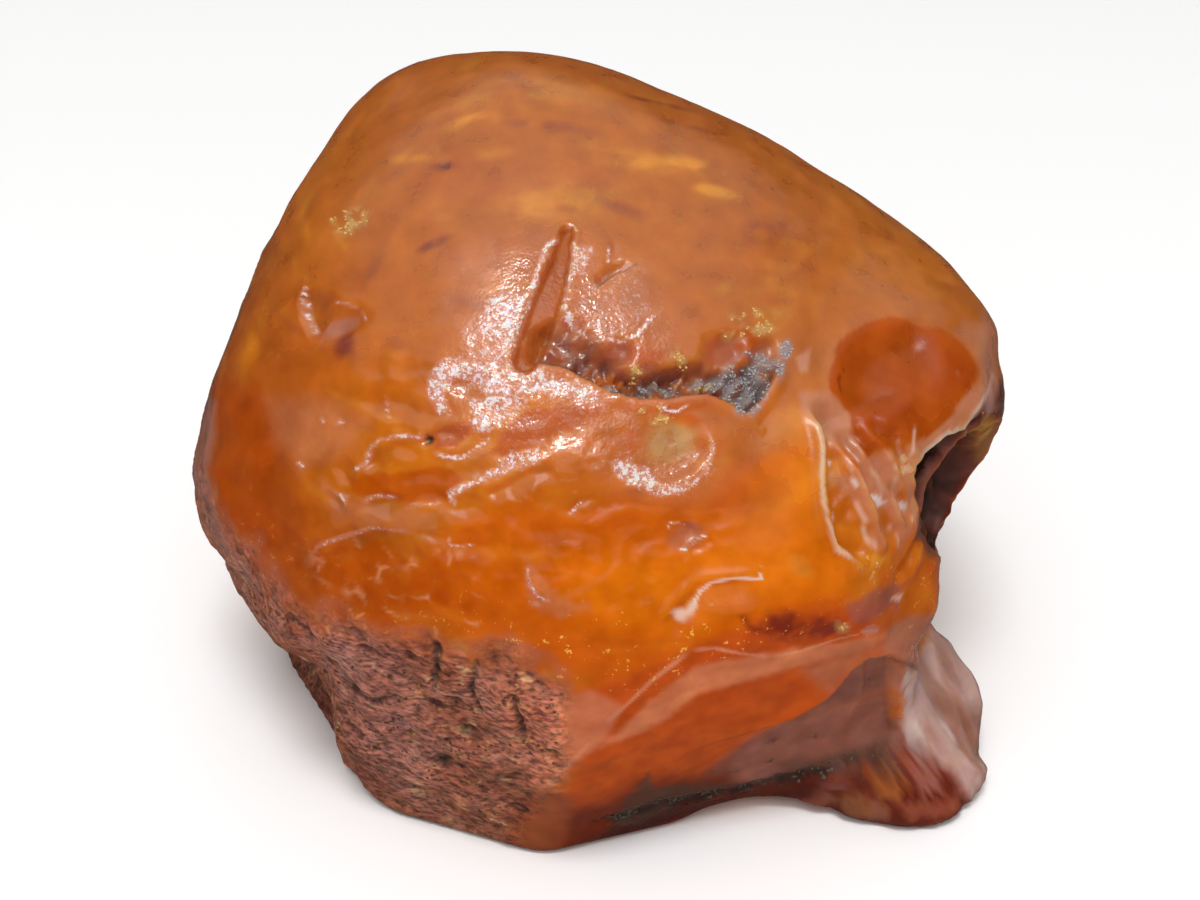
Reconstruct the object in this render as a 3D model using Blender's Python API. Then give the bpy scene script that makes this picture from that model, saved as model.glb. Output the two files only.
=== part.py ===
"""A hand-sized nugget of raw amber, resting on its own worn base.

One solid.  The lump is a set of worn facets, each given by the direction it
faces and how far it stands from the heart of the stone; neighbouring facets
are blended with a rounding of their own.  Broken faces are cut crisply, the
hollows under the cheek are carved out, and the spur of the foot is joined on.
Lengths here are millimetres; the finished mesh is written in metres, +Z up,
with its front towards -Y.
"""
import bpy
import bmesh
import numpy as np
from math import radians, sin, cos

# ---------------------------------------------------------------- dimensions
HEART = (0.0, 0.0, 28.0)         # point every skin direction is measured from
SHIFT = (-0.093, -0.69)         # footprint centre of the finished skin, moved to x = y = 0
MM = 0.001
GRID = 60                        # skin grid, quads along a cube edge
TRIANGLES = 9600                 # target for the finished skin

# worn facets: name, faces azimuth, faces elevation (deg), distance, rounding
WORN = [
    ("crown", 4.0, 68.5, 33.5, 14.0),
    ("top_front", 15.0, 45.6, 28.3, 12.0),
    ("top_back", 166.0, 41.0, 31.0, 16.0),
    ("top_left", -69.0, 42.0, 35.5, 16.0),
    ("top_right", 75.0, 50.0, 31.1, 14.0),
    ("front", 5.3, 18.5, 28.9, 8.0),
    ("front_left", -42.0, 16.5, 30.8, 9.0),
    ("front_right", 42.0, 14.0, 32.3, 3.5),
    ("right_front", 66.5, 12.0, 33.0, 5.0),
    ("left", -86.0, 44.0, 40.0, 14.0),
    ("right", 79.0, -13.5, 33.3, 10.0),
    ("back", 192.0, -13.0, 31.4, 16.0),
    ("back_left", -120.0, -3.0, 32.9, 16.0),
    ("back_right", 148.0, 11.0, 33.5, 16.0),
    ("back_under", 192.0, -45.0, 30.5, 10.0),
    ("right_under", 124.0, -29.0, 32.8, 10.0),
]
# broken faces, cut after the lobes are on
BROKEN = [
    ("left_under", -62.0, -19.0, 33.5, 3.0),
    ("crust", -21.5, -15.1, 30.6, 1.4),
    ("front_cut", 18.0, -22.5, 30.2, 1.2),
]
# the flatter face under the ridge at the front right, through three points
LOW_FACE = ((3.0, -27.5, 13.5), (23.8, -23.0, 22.5), (25.5, -18.2, 6.0))
# spur of the foot: faces azimuth, elevation, point on the face, rounding
SPUR = [
    (-14.0, -10.0, (25.0, -20.2, 0.0), 3.0),
    (36.0, -10.0, (31.6, -20.0, 0.5), 3.0),
    (92.0, -8.0, (35.1, -12.0, 5.0), 4.0),
    (142.0, 26.0, (30.0, 1.0, 3.0), 8.0),
    (-50.0, 10.0, (14.0, -14.0, 3.0), 3.0),
    (8.0, 62.0, (26.5, -18.6, 7.0), 2.5),
    (58.0, 30.0, (31.0, -16.0, 8.4), 3.5),
    (180.0, 20.0, (20.0, -2.0, 4.0), 6.0),
]
SPUR_BLEND = 4.0
CHEEK = ((24.4, -5.0, 35.0), (11.0, 12.0, 10.0), 50.0)
WAIST = ((42.5, -34.0, 16.0), (41.5, 3.0, 19.0), 13.0)
NOTCH = ((33.2, -15.5, 32.0), (35.5, -11.0, 30.0), 7.0, 5.5)
FLUTE = ((39.5, -23.0, 16.0), 13.8)
ARCH = ((15.0, -19.5, -1.0), (8.0, 5.0, 2.4))
EDGE = 0.8                       # rounding where the skin meets the ground

# the forked fissure over the brow: skin directions and half widths
FISSURE = [
    [(-14.5, 68.5, 0.5), (-13.9, 63.5, 0.9), (-14.8, 58.3, 1.0),
     (-16.2, 52.3, 1.0), (-17.1, 46.5, 1.0)],
    [(-16.0, 46.8, 1.3), (-8.9, 46.2, 1.2), (-2.0, 45.0, 1.1),
     (2.9, 43.6, 1.2), (11.3, 42.6, 1.4), (18.9, 41.9, 1.5),
     (26.9, 41.2, 1.6), (32.7, 39.6, 1.2)],
]
FISSURE_DEPTH = 0.75
# shallow scars: skin direction, radius, depth
SCARS = [
    (-66.0, 38.2, 2.2, 1.0),
    (14.4, 17.6, 1.9, 0.6),
    (14.3, 31.9, 3.0, 0.5),
    (-28.1, 40.4, 1.6, 0.5),
    (-32.0, 30.8, 1.3, 0.5),
    (6.0, 63.0, 1.4, 0.4),
]


# ------------------------------------------------------------------- helpers
def unit(az, el):
    """Outward direction: azimuth 0 faces -Y, +90 faces +X."""
    a, e = radians(az), radians(el)
    return np.array([sin(a) * cos(e), -cos(a) * cos(e), sin(e)])


def blend_max(a, b, k):
    h = np.maximum(k - np.abs(a - b), 0.0) / k
    return np.maximum(a, b) + h * h * k * 0.25


def blend_min(a, b, k):
    return -blend_max(-a, -b, k)


def facet(p, az, el, dist):
    return (p - np.array(HEART)) @ unit(az, el) - dist


def ellipsoid(p, centre, radii, turn=0.0):
    q = p - np.array(centre)
    if turn:
        x = unit(turn, 0.0)
        y = np.cross([0.0, 0.0, 1.0], x)
        q = q @ np.stack([x, y, np.array([0.0, 0.0, 1.0])], 1)
    r = np.array(radii)
    k0 = np.linalg.norm(q / r, axis=-1)
    k1 = np.linalg.norm(q / (r * r), axis=-1)
    return k0 * (k0 - 1.0) / np.maximum(k1, 1e-9)


def capsule(p, a, b, ra, rb=None):
    a, b = np.array(a), np.array(b)
    rb = ra if rb is None else rb
    pa, ba = p - a, b - a
    t = np.clip((pa @ ba) / (ba @ ba), 0.0, 1.0)
    return np.linalg.norm(pa - t[..., None] * ba, axis=-1) - (ra + (rb - ra) * t)


def face_normal(a, b, c):
    a, b, c = np.array(a), np.array(b), np.array(c)
    n = np.cross(b - a, c - a)
    n /= np.linalg.norm(n)
    return n if n @ (a - np.array(HEART)) > 0 else -n


# --------------------------------------------------------------- stone shape
def lump(p):
    """Signed distance-like value of the bare stone, negative inside."""
    f = None
    for _, az, el, dist, k in WORN:
        g = facet(p, az, el, dist)
        f = g if f is None else blend_max(f, g, k)
    f = blend_min(f, ellipsoid(p, *CHEEK), 5.0)
    f = blend_max(f, -capsule(p, *WAIST), 3.0)
    for _, az, el, dist, k in BROKEN:
        f = blend_max(f, facet(p, az, el, dist), k)
    f = blend_max(f, (p - np.array(LOW_FACE[2])) @ face_normal(*LOW_FACE), 1.0)
    g = None
    for az, el, point, k in SPUR:
        q = (p - np.array(point)) @ unit(az, el)
        g = q if g is None else blend_max(g, q, k)
    f = blend_min(f, g, SPUR_BLEND)
    f = blend_max(f, -capsule(p, *NOTCH), 1.5)
    f = blend_max(f, -ellipsoid(p, FLUTE[0], (FLUTE[1],) * 3), 1.2)
    return blend_max(f, -ellipsoid(p, *ARCH), 1.2)


def swell(p, wavelength, seed, waves=9):
    """Smooth seeded waviness between about -1 and 1."""
    rng = np.random.default_rng(seed)
    total = np.zeros(p.shape[:-1])
    for _ in range(waves):
        d = rng.normal(size=3)
        d *= 2.0 * np.pi / (np.linalg.norm(d) * wavelength * rng.uniform(0.7, 1.4))
        total += np.sin(p @ d + rng.uniform(0.0, 2.0 * np.pi))
    return total / np.sqrt(waves)


def reach(dirs, shape, far=60.0, steps=44):
    """Distance from the heart to the outermost skin along each direction."""
    heart = np.array(HEART)
    rs = np.linspace(far, 4.0, steps)
    lo = np.full(len(dirs), 4.0)
    hi = np.full(len(dirs), far)
    found = np.zeros(len(dirs), bool)
    for r0, r1 in zip(rs[:-1], rs[1:]):
        todo = np.where(~found)[0]
        if not len(todo):
            break
        inside = todo[shape(heart + dirs[todo] * r1) < 0.0]
        found[inside] = True
        lo[inside], hi[inside] = r1, r0
    for _ in range(20):
        mid = (lo + hi) / 2.0
        inside = shape(heart + dirs * mid[:, None]) < 0.0
        lo = np.where(inside, mid, lo)
        hi = np.where(inside, hi, mid)
    return (lo + hi) / 2.0


def skin_point(az, el, sink):
    d = unit(az, el)
    r = reach(d[None, :], lump)[0]
    return np.array(HEART) + d * (r - sink)


GROOVES = [[(skin_point(az, el, FISSURE_DEPTH - w), w) for az, el, w in branch]
           for branch in FISSURE]
PITS = [(skin_point(az, el, depth - radius), radius)
        for az, el, radius, depth in SCARS]


def stone(p):
    f = lump(p)
    f = f + 0.16 * swell(p, 17.0, 5) + 0.08 * swell(p, 8.0, 6)
    rough = np.clip(0.5 - np.abs(facet(p, *BROKEN[1][1:4])), 0.0, 0.5) * 2.0
    f = f + 0.28 * rough * swell(p, 3.6, 7, 14)
    for branch in GROOVES:
        for (a, wa), (b, wb) in zip(branch[:-1], branch[1:]):
            f = blend_max(f, -capsule(p, a, b, wa, wb), 0.35)
    for centre, radius in PITS:
        f = blend_max(f, radius - np.linalg.norm(p - centre, axis=-1), 0.4)
    return blend_max(f, -p[..., 2], EDGE)


# ----------------------------------------------------------------- skin grid
def cube_grid(n):
    """Directions over the whole sphere and the quads that join them."""
    t = np.tan(np.linspace(-np.pi / 4.0, np.pi / 4.0, n + 1))
    sides = [((1, 0, 0), (0, 1, 0), (0, 0, 1)), ((-1, 0, 0), (0, -1, 0), (0, 0, 1)),
             ((0, 1, 0), (-1, 0, 0), (0, 0, 1)), ((0, -1, 0), (1, 0, 0), (0, 0, 1)),
             ((0, 0, 1), (0, 1, 0), (-1, 0, 0)), ((0, 0, -1), (0, 1, 0), (1, 0, 0))]
    seen, points, quads = {}, [], []
    for a, b, c in sides:
        a, b, c = (np.array(v, float) for v in (a, b, c))
        ids = np.zeros((n + 1, n + 1), int)
        for i in range(n + 1):
            for j in range(n + 1):
                d = a + b * t[i] + c * t[j]
                d = d / np.linalg.norm(d)
                key = tuple(np.round(d, 7))
                if key not in seen:
                    seen[key] = len(points)
                    points.append(d)
                ids[i, j] = seen[key]
        for i in range(n):
            for j in range(n):
                quads.append((ids[i, j], ids[i + 1, j], ids[i + 1, j + 1], ids[i, j + 1]))
    return np.array(points), quads


def amber():
    mat = bpy.data.materials.new("amber")
    mat.use_nodes = True
    p = mat.node_tree.nodes["Principled BSDF"]
    p.inputs["Base Color"].default_value = (0.52, 0.17, 0.03, 1.0)
    p.inputs["Roughness"].default_value = 0.22
    p.inputs["IOR"].default_value = 1.54
    p.inputs["Metallic"].default_value = 0.0
    return mat


def build():
    for old in list(bpy.data.objects):
        bpy.data.objects.remove(old, do_unlink=True)
    dirs, quads = cube_grid(GRID)
    points = np.array(HEART) + dirs * reach(dirs, stone)[:, None]
    points[:, 2] = np.maximum(points[:, 2], 0.0)
    points[:, 0] -= SHIFT[0]
    points[:, 1] -= SHIFT[1]
    mesh = bpy.data.meshes.new("amber_nugget")
    mesh.from_pydata((points * MM).tolist(), [], [tuple(int(i) for i in q) for q in quads])
    mesh.update()
    bm = bmesh.new()
    bm.from_mesh(mesh)
    bmesh.ops.triangulate(bm, faces=bm.faces[:])
    bmesh.ops.recalc_face_normals(bm, faces=bm.faces[:])
    count = len(bm.faces)
    bm.to_mesh(mesh)
    bm.free()
    obj = bpy.data.objects.new("amber_nugget", mesh)
    bpy.context.scene.collection.objects.link(obj)
    mesh.materials.append(amber())
    thin = obj.modifiers.new("thin", "DECIMATE")
    thin.ratio = TRIANGLES / count
    return obj


build()
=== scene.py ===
import bpy
import bmesh
import numpy as np
from math import radians, sin, cos, pi
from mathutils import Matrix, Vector


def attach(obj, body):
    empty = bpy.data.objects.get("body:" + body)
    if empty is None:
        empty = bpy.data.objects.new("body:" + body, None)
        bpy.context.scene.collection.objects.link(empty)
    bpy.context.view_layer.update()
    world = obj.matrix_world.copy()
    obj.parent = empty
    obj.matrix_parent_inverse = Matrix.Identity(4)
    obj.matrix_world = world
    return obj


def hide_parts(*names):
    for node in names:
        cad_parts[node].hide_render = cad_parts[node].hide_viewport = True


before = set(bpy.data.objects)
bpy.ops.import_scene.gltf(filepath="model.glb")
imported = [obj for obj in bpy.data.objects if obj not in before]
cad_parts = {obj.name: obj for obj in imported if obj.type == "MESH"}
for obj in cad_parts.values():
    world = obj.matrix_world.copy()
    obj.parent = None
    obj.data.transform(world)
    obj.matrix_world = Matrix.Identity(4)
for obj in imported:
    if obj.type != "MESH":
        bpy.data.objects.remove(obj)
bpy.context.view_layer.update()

MM = 0.001
HEART = np.array([0.0, 0.0, 28.0])
SHIFT = np.array([-0.093, -0.69, 0.0])
GRID = 128                     # quads along a cube edge of the skin
LEAN = 0.42                    # how far the skin's grid is gathered to the front

# camera, in the stone's own millimetres
CAM_EL, CAM_DIST, LENS = 35.0, 210.0, 70.0
TARGET = np.array([0.0, 0.0, 27.0])

# ------------------------------------------------------------ the bare stone
WORN = [
    ("crown", 4.0, 68.5, 33.5, 14.0),
    ("top_front", 15.0, 45.6, 28.3, 12.0),
    ("top_back", 166.0, 41.0, 31.0, 16.0),
    ("top_left", -69.0, 42.0, 35.5, 16.0),
    ("top_right", 75.0, 50.0, 31.1, 14.0),
    ("front", 5.3, 18.5, 28.9, 8.0),
    ("front_left", -42.0, 16.5, 30.8, 9.0),
    ("front_right", 42.0, 14.0, 32.3, 3.5),
    ("right_front", 66.5, 12.0, 33.0, 5.0),
    ("left", -86.0, 44.0, 40.0, 14.0),
    ("right", 79.0, -13.5, 33.3, 10.0),
    ("back", 192.0, -13.0, 31.4, 16.0),
    ("back_left", -120.0, -3.0, 32.9, 16.0),
    ("back_right", 148.0, 11.0, 33.5, 16.0),
    ("back_under", 192.0, -45.0, 30.5, 10.0),
    ("right_under", 124.0, -29.0, 32.8, 10.0),
]
BROKEN = [
    ("left_under", -62.0, -19.0, 33.5, 3.0),
    ("crust", -21.5, -15.1, 30.6, 1.4),
    ("front_cut", 18.0, -22.5, 30.2, 1.2),
]
LOW_FACE = ((3.0, -27.5, 13.5), (23.8, -23.0, 22.5), (25.5, -18.2, 6.0))
SPUR = [
    (-14.0, -10.0, (25.0, -20.2, 0.0), 3.0),
    (36.0, -10.0, (31.6, -20.0, 0.5), 3.0),
    (92.0, -8.0, (35.1, -12.0, 5.0), 4.0),
    (142.0, 26.0, (30.0, 1.0, 3.0), 8.0),
    (-50.0, 10.0, (14.0, -14.0, 3.0), 3.0),
    (8.0, 62.0, (26.5, -18.6, 7.0), 2.5),
    (58.0, 30.0, (31.0, -16.0, 8.4), 3.5),
    (180.0, 20.0, (20.0, -2.0, 4.0), 6.0),
]
SPUR_BLEND = 4.0
CHEEK = ((24.4, -5.0, 35.0), (11.0, 12.0, 10.0), 50.0)
WAIST = ((42.5, -34.0, 16.0), (41.5, 3.0, 19.0), 13.0)
NOTCH = ((33.2, -15.5, 32.0), (35.5, -11.0, 30.0), 7.0, 5.5)
FLUTE = ((39.5, -23.0, 16.0), 13.8)
ARCH = ((15.0, -19.5, -1.0), (8.0, 5.0, 2.4))
EDGE = 0.8


def unit(az, el):
    a, e = radians(az), radians(el)
    return np.array([sin(a) * cos(e), -cos(a) * cos(e), sin(e)])


def blend_max(a, b, k):
    h = np.maximum(k - np.abs(a - b), 0.0) / k
    return np.maximum(a, b) + h * h * k * 0.25


def blend_min(a, b, k):
    return -blend_max(-a, -b, k)


def facet(p, az, el, dist):
    return (p - HEART) @ unit(az, el) - dist


def ellipsoid(p, centre, radii, turn=0.0):
    q = p - np.array(centre)
    if turn:
        x = unit(turn, 0.0)
        y = np.cross([0.0, 0.0, 1.0], x)
        q = q @ np.stack([x, y, np.array([0.0, 0.0, 1.0])], 1)
    r = np.array(radii)
    k0 = np.linalg.norm(q / r, axis=-1)
    k1 = np.linalg.norm(q / (r * r), axis=-1)
    return k0 * (k0 - 1.0) / np.maximum(k1, 1e-9)


def capsule(p, a, b, ra, rb=None):
    a, b = np.array(a), np.array(b)
    rb = ra if rb is None else rb
    pa, ba = p - a, b - a
    t = np.clip((pa @ ba) / (ba @ ba), 0.0, 1.0)
    return np.linalg.norm(pa - t[..., None] * ba, axis=-1) - (ra + (rb - ra) * t)


def face_normal(a, b, c):
    a, b, c = np.array(a), np.array(b), np.array(c)
    n = np.cross(b - a, c - a)
    n /= np.linalg.norm(n)
    return n if n @ (a - HEART) > 0 else -n


LOW_N = face_normal(*LOW_FACE)


def spur(p):
    g = None
    for az, el, point, k in SPUR:
        q = (p - np.array(point)) @ unit(az, el)
        g = q if g is None else blend_max(g, q, k)
    return g


def lump(p):
    f = None
    for _, az, el, dist, k in WORN:
        g = facet(p, az, el, dist)
        f = g if f is None else blend_max(f, g, k)
    f = blend_min(f, ellipsoid(p, *CHEEK), 5.0)
    f = blend_max(f, -capsule(p, *WAIST), 3.0)
    for _, az, el, dist, k in BROKEN:
        f = blend_max(f, facet(p, az, el, dist), k)
    f = blend_max(f, (p - np.array(LOW_FACE[2])) @ LOW_N, 1.0)
    f = blend_min(f, spur(p), SPUR_BLEND)
    f = blend_max(f, -capsule(p, *NOTCH), 1.5)
    f = blend_max(f, -ellipsoid(p, FLUTE[0], (FLUTE[1],) * 3), 1.2)
    f = blend_max(f, -ellipsoid(p, *ARCH), 1.2)
    return blend_max(f, -p[..., 2], EDGE)


def gradient(p, h=0.12):
    g = np.zeros_like(p)
    for k in range(3):
        d = np.zeros(3)
        d[k] = h
        g[:, k] = lump(p + d) - lump(p - d)
    return g / np.maximum(np.linalg.norm(g, axis=1, keepdims=True), 1e-9)


def reach(dirs, origin, far, near, steps, fine=18):
    """Outermost skin crossing along rays from a point inside the stone."""
    rs = np.linspace(far, near, steps)
    lo = np.full(len(dirs), float(near))
    hi = np.full(len(dirs), float(far))
    found = np.zeros(len(dirs), bool)
    for r0, r1 in zip(rs[:-1], rs[1:]):
        todo = np.where(~found)[0]
        if not len(todo):
            break
        inside = todo[lump(origin + dirs[todo] * r1) < 0.0]
        found[inside] = True
        lo[inside], hi[inside] = r1, r0
    for _ in range(fine):
        mid = (lo + hi) / 2.0
        inside = lump(origin + dirs * mid[:, None]) < 0.0
        lo = np.where(inside, mid, lo)
        hi = np.where(inside, hi, mid)
    return (lo + hi) / 2.0


_pinned = {}


def pin(*spots):
    """Skin points seen at the given picture places, in a 1200 x 900 frame."""
    if spots not in _pinned:
        _pinned[spots] = _pin(spots)
    return _pinned[spots]


def _pin(spots):
    e = radians(CAM_EL)
    back = np.array([0.0, -cos(e), sin(e)])
    up = np.array([0.0, sin(e), cos(e)])
    eye = TARGET + back * CAM_DIST
    s = np.array(spots, float).reshape(-1, 2)
    f = LENS / 36.0 * 1200.0
    d = (s[:, :1] - 600.0) / f * np.array([1.0, 0, 0]) - (s[:, 1:] - 450.0) / f * up - back
    d /= np.linalg.norm(d, axis=1, keepdims=True)
    t = np.full(len(d), CAM_DIST - 60.0)
    for _ in range(48):
        t = t + np.clip(lump(eye + d * t[:, None]) * 0.8, 0.0, 6.0)
    return eye + d * t[:, None]


# --------------------------------------------------------------- noise fields
def _hash(ix, iy, iz, seed):
    h = (ix * 374761393 + iy * 668265263 + iz * 2147483647 + seed * 1274126177) & 0xFFFFFFFF
    h = ((h ^ (h >> 13)) * 1274126177) & 0xFFFFFFFF
    h = ((h ^ (h >> 16)) * 2246822519) & 0xFFFFFFFF
    return h ^ (h >> 15)


def noise(p, wave, seed=0):
    """Smooth gradient noise, about -1 to 1, one lump per wavelength."""
    q = p / wave + 137.0
    i = np.floor(q).astype(np.int64)
    f = q - i
    u = f * f * f * (f * (f * 6.0 - 15.0) + 10.0)
    out = np.zeros(len(q))
    for dx in (0, 1):
        for dy in (0, 1):
            for dz in (0, 1):
                h = _hash(i[:, 0] + dx, i[:, 1] + dy, i[:, 2] + dz, seed)
                gx = ((h & 1023) / 511.5) - 1.0
                gy = (((h >> 10) & 1023) / 511.5) - 1.0
                gz = (((h >> 20) & 1023) / 511.5) - 1.0
                v = gx * (f[:, 0] - dx) + gy * (f[:, 1] - dy) + gz * (f[:, 2] - dz)
                wx = u[:, 0] if dx else 1.0 - u[:, 0]
                wy = u[:, 1] if dy else 1.0 - u[:, 1]
                wz = u[:, 2] if dz else 1.0 - u[:, 2]
                out += v * wx * wy * wz
    return out * 1.5


def fbm(p, wave, seed=0, octaves=3, gain=0.5):
    total, amp = 0.0, 1.0
    for o in range(octaves):
        total = total + amp * noise(p, wave / 2.0 ** o, seed + 17 * o)
        amp *= gain
    return total


def ridged(p, wave, seed=0, octaves=2):
    total, amp = 0.0, 1.0
    for o in range(octaves):
        n = 1.0 - np.abs(noise(p, wave / 2.0 ** o, seed + 31 * o)) * 1.6
        total = total + amp * n
        amp *= 0.5
    return total


def cells(p, wave, seed=0):
    """Nearest and second nearest scattered point, in units of the wavelength,
    and a random value of the nearest one."""
    q = p / wave + 91.0
    i = np.floor(q).astype(np.int64)
    best = np.full(len(q), 9.0)
    second = np.full(len(q), 9.0)
    who = np.zeros(len(q))
    for dx in (-1, 0, 1):
        for dy in (-1, 0, 1):
            for dz in (-1, 0, 1):
                c = i + np.array([dx, dy, dz])
                h = _hash(c[:, 0], c[:, 1], c[:, 2], seed)
                o = np.stack([(h & 1023) / 1023.0, ((h >> 10) & 1023) / 1023.0,
                              ((h >> 20) & 1023) / 1023.0], 1)
                d = np.linalg.norm(c + o - q, axis=1)
                near = d < best
                second = np.where(near, best, np.minimum(second, d))
                who = np.where(near, ((h >> 5) & 4095) / 4095.0, who)
                best = np.where(near, d, best)
    return best, second, who


def swell(p, wavelength, seed, waves=9):
    rng = np.random.default_rng(seed)
    total = np.zeros(p.shape[:-1])
    for _ in range(waves):
        d = rng.normal(size=3)
        d *= 2.0 * np.pi / (np.linalg.norm(d) * wavelength * rng.uniform(0.7, 1.4))
        total += np.sin(p @ d + rng.uniform(0.0, 2.0 * np.pi))
    return total / np.sqrt(waves)


def smooth(x, lo=0.0, hi=1.0):
    t = np.clip((x - lo) / (hi - lo), 0.0, 1.0)
    return t * t * (3.0 - 2.0 * t)


def bowl(x):
    """1 at the middle, 0 at x = 1 and beyond."""
    x = np.clip(x, 0.0, 1.0)
    return (1.0 - x * x) ** 2


class Path:
    """A line over the skin through picture places."""

    def __init__(self, *spots, cut=14.0):
        self.pts = pin(*spots)
        self.nrm = gradient(self.pts)
        self.length = np.linalg.norm(np.diff(self.pts, axis=0), axis=1).sum()
        self.cut = cut

    def measure(self, p):
        """Distance, place along (0 to 1) and side (+ on the left going along)."""
        n = len(p)
        best = np.full(n, 99.0)
        along = np.zeros(n)
        side = np.zeros(n)
        centre = self.pts.mean(0)
        far = np.linalg.norm(self.pts - centre, axis=1).max() + self.cut
        near = np.where(np.linalg.norm(p - centre, axis=1) < far)[0]
        q = p[near]
        bd = np.full(len(q), 99.0)
        bs = np.zeros(len(q))
        bt = np.zeros(len(q))
        run = 0.0
        for a, b, na in zip(self.pts[:-1], self.pts[1:], self.nrm[:-1]):
            ba = b - a
            ln = np.linalg.norm(ba)
            t = np.clip(((q - a) @ ba) / (ln * ln), 0.0, 1.0)
            off = q - a - t[:, None] * ba
            d = np.linalg.norm(off, axis=1)
            s = off @ np.cross(na, ba / ln)
            hit = d < bd
            bd = np.where(hit, d, bd)
            bs = np.where(hit, s, bs)
            bt = np.where(hit, (run + t * ln) / self.length, bt)
            run += ln
        best[near], side[near], along[near] = bd, bs, bt
        return best, along, side


# --------------------------------------------------------- the skin, undetailed
def cube_grid(n):
    """Points and outward quads of a cube cut n by n on each side, with every
    corner shared."""
    index, pts, quads = {}, [], []

    def at(i, j, k):
        key = (i, j, k)
        if key not in index:
            index[key] = len(pts)
            c = [np.tan((2.0 * v / n - 1.0) * pi / 4.0) for v in key]
            pts.append(c)
        return index[key]

    for axis in range(3):
        for end in (0, n):
            for a in range(n):
                for b in range(n):
                    corner = []
                    for u, v in ((a, b), (a + 1, b), (a + 1, b + 1), (a, b + 1)):
                        key = [0, 0, 0]
                        key[axis] = end
                        key[(axis + 1) % 3] = u
                        key[(axis + 2) % 3] = v
                        corner.append(at(*key))
                    quads.append(corner if end else corner[::-1])
    return np.array(pts), np.array(quads)


grid_pts, quads = cube_grid(GRID)
dirs = grid_pts / np.linalg.norm(grid_pts, axis=1, keepdims=True)
# the grid is gathered to the side that carries the fissure and the folds
lean_to = unit(8.0, 18.0)
ca = np.clip(dirs @ lean_to, -1.0, 1.0)
theta = np.arccos(ca)
bent = theta - LEAN * np.sin(theta)
tang = dirs - ca[:, None] * lean_to
tang /= np.maximum(np.linalg.norm(tang, axis=1, keepdims=True), 1e-9)
dirs = np.cos(bent)[:, None] * lean_to + np.sin(bent)[:, None] * tang

P = HEART + dirs * reach(dirs, HEART, 58.0, 6.0, 70)[:, None]
N = gradient(P)
x, y, z = P.T
nx, ny, nz = N.T


def region(az, el, point=None, dist=None, soft=1.2):
    """How much of the skin lies on one of the stone's flat faces."""
    n = unit(az, el)
    d = (P - np.array(point)) @ n if point is not None else (P - HEART) @ n - dist
    return smooth(-np.abs(d), -soft, -0.15 * soft) * smooth(N @ n, 0.72, 0.93)


def near(spot, radius, soft=0.5, squash=(1.0, 1.0), turn=0.0):
    """1 inside a round or oval patch at a picture place, fading to its edge."""
    q, ex, ey = local(spot, turn)
    r = np.sqrt((ex / squash[0]) ** 2 + (ey / squash[1]) ** 2)
    out = smooth(-(r / radius), -1.0, -soft)
    return np.where(np.abs(q) < 2.5 * radius, out, 0.0)


_e = radians(CAM_EL)
VIEW_UP = np.array([0.0, sin(_e), cos(_e)])


def local(spot, turn=0.0):
    """Height over, and two distances along, the skin at a picture place."""
    c = pin(spot)
    n = gradient(c)[0]
    ex = np.cross(VIEW_UP, n)
    ex /= np.linalg.norm(ex)
    ey = np.cross(n, ex)
    d = P - c[0]
    a, b = d @ ex, d @ ey
    t = radians(turn)
    return d @ n, a * cos(t) + b * sin(t), -a * sin(t) + b * cos(t)


def on_picture(p):
    """Picture places of points, in a 1200 x 900 frame."""
    back = np.array([0.0, -cos(_e), sin(_e)])
    q = p - (TARGET + back * CAM_DIST)
    depth = -(q @ back)
    f = LENS / 36.0 * 1200.0
    return 600.0 + f * q[:, 0] / depth, 450.0 - f * (q @ VIEW_UP) / depth


PX, PY = on_picture(P)
_eye = TARGET + np.array([0.0, -cos(_e), sin(_e)]) * CAM_DIST
_to_eye = _eye - P
_to_eye /= np.linalg.norm(_to_eye, axis=1, keepdims=True)
FACING = smooth((N * _to_eye).sum(1), -0.02, 0.10)
WRAPPED = smooth((N * _to_eye).sum(1), -0.45, -0.15)      # also a little way round the edge


def patch(*corners, soft=6.0, fray=None, wrap=False):
    """1 on the skin inside an outline given by picture places."""
    c = np.array(corners, float)
    inside = np.zeros(len(P), bool)
    best = np.full(len(P), 1e9)
    for (x0, y0), (x1, y1) in zip(c, np.roll(c, -1, axis=0)):
        ex, ey = x1 - x0, y1 - y0
        t = np.clip(((PX - x0) * ex + (PY - y0) * ey) / (ex * ex + ey * ey), 0.0, 1.0)
        best = np.minimum(best, (PX - x0 - t * ex) ** 2 + (PY - y0 - t * ey) ** 2)
        crosses = ((y0 > PY) != (y1 > PY))
        inside ^= crosses & (PX < x0 + (PY - y0) * ex / (ey if ey else 1e-9))
    d = np.where(inside, 1.0, -1.0) * np.sqrt(best)
    if fray is not None:
        d = d + fray
    return smooth(d, -soft, soft) * (WRAPPED if wrap else FACING)


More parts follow.
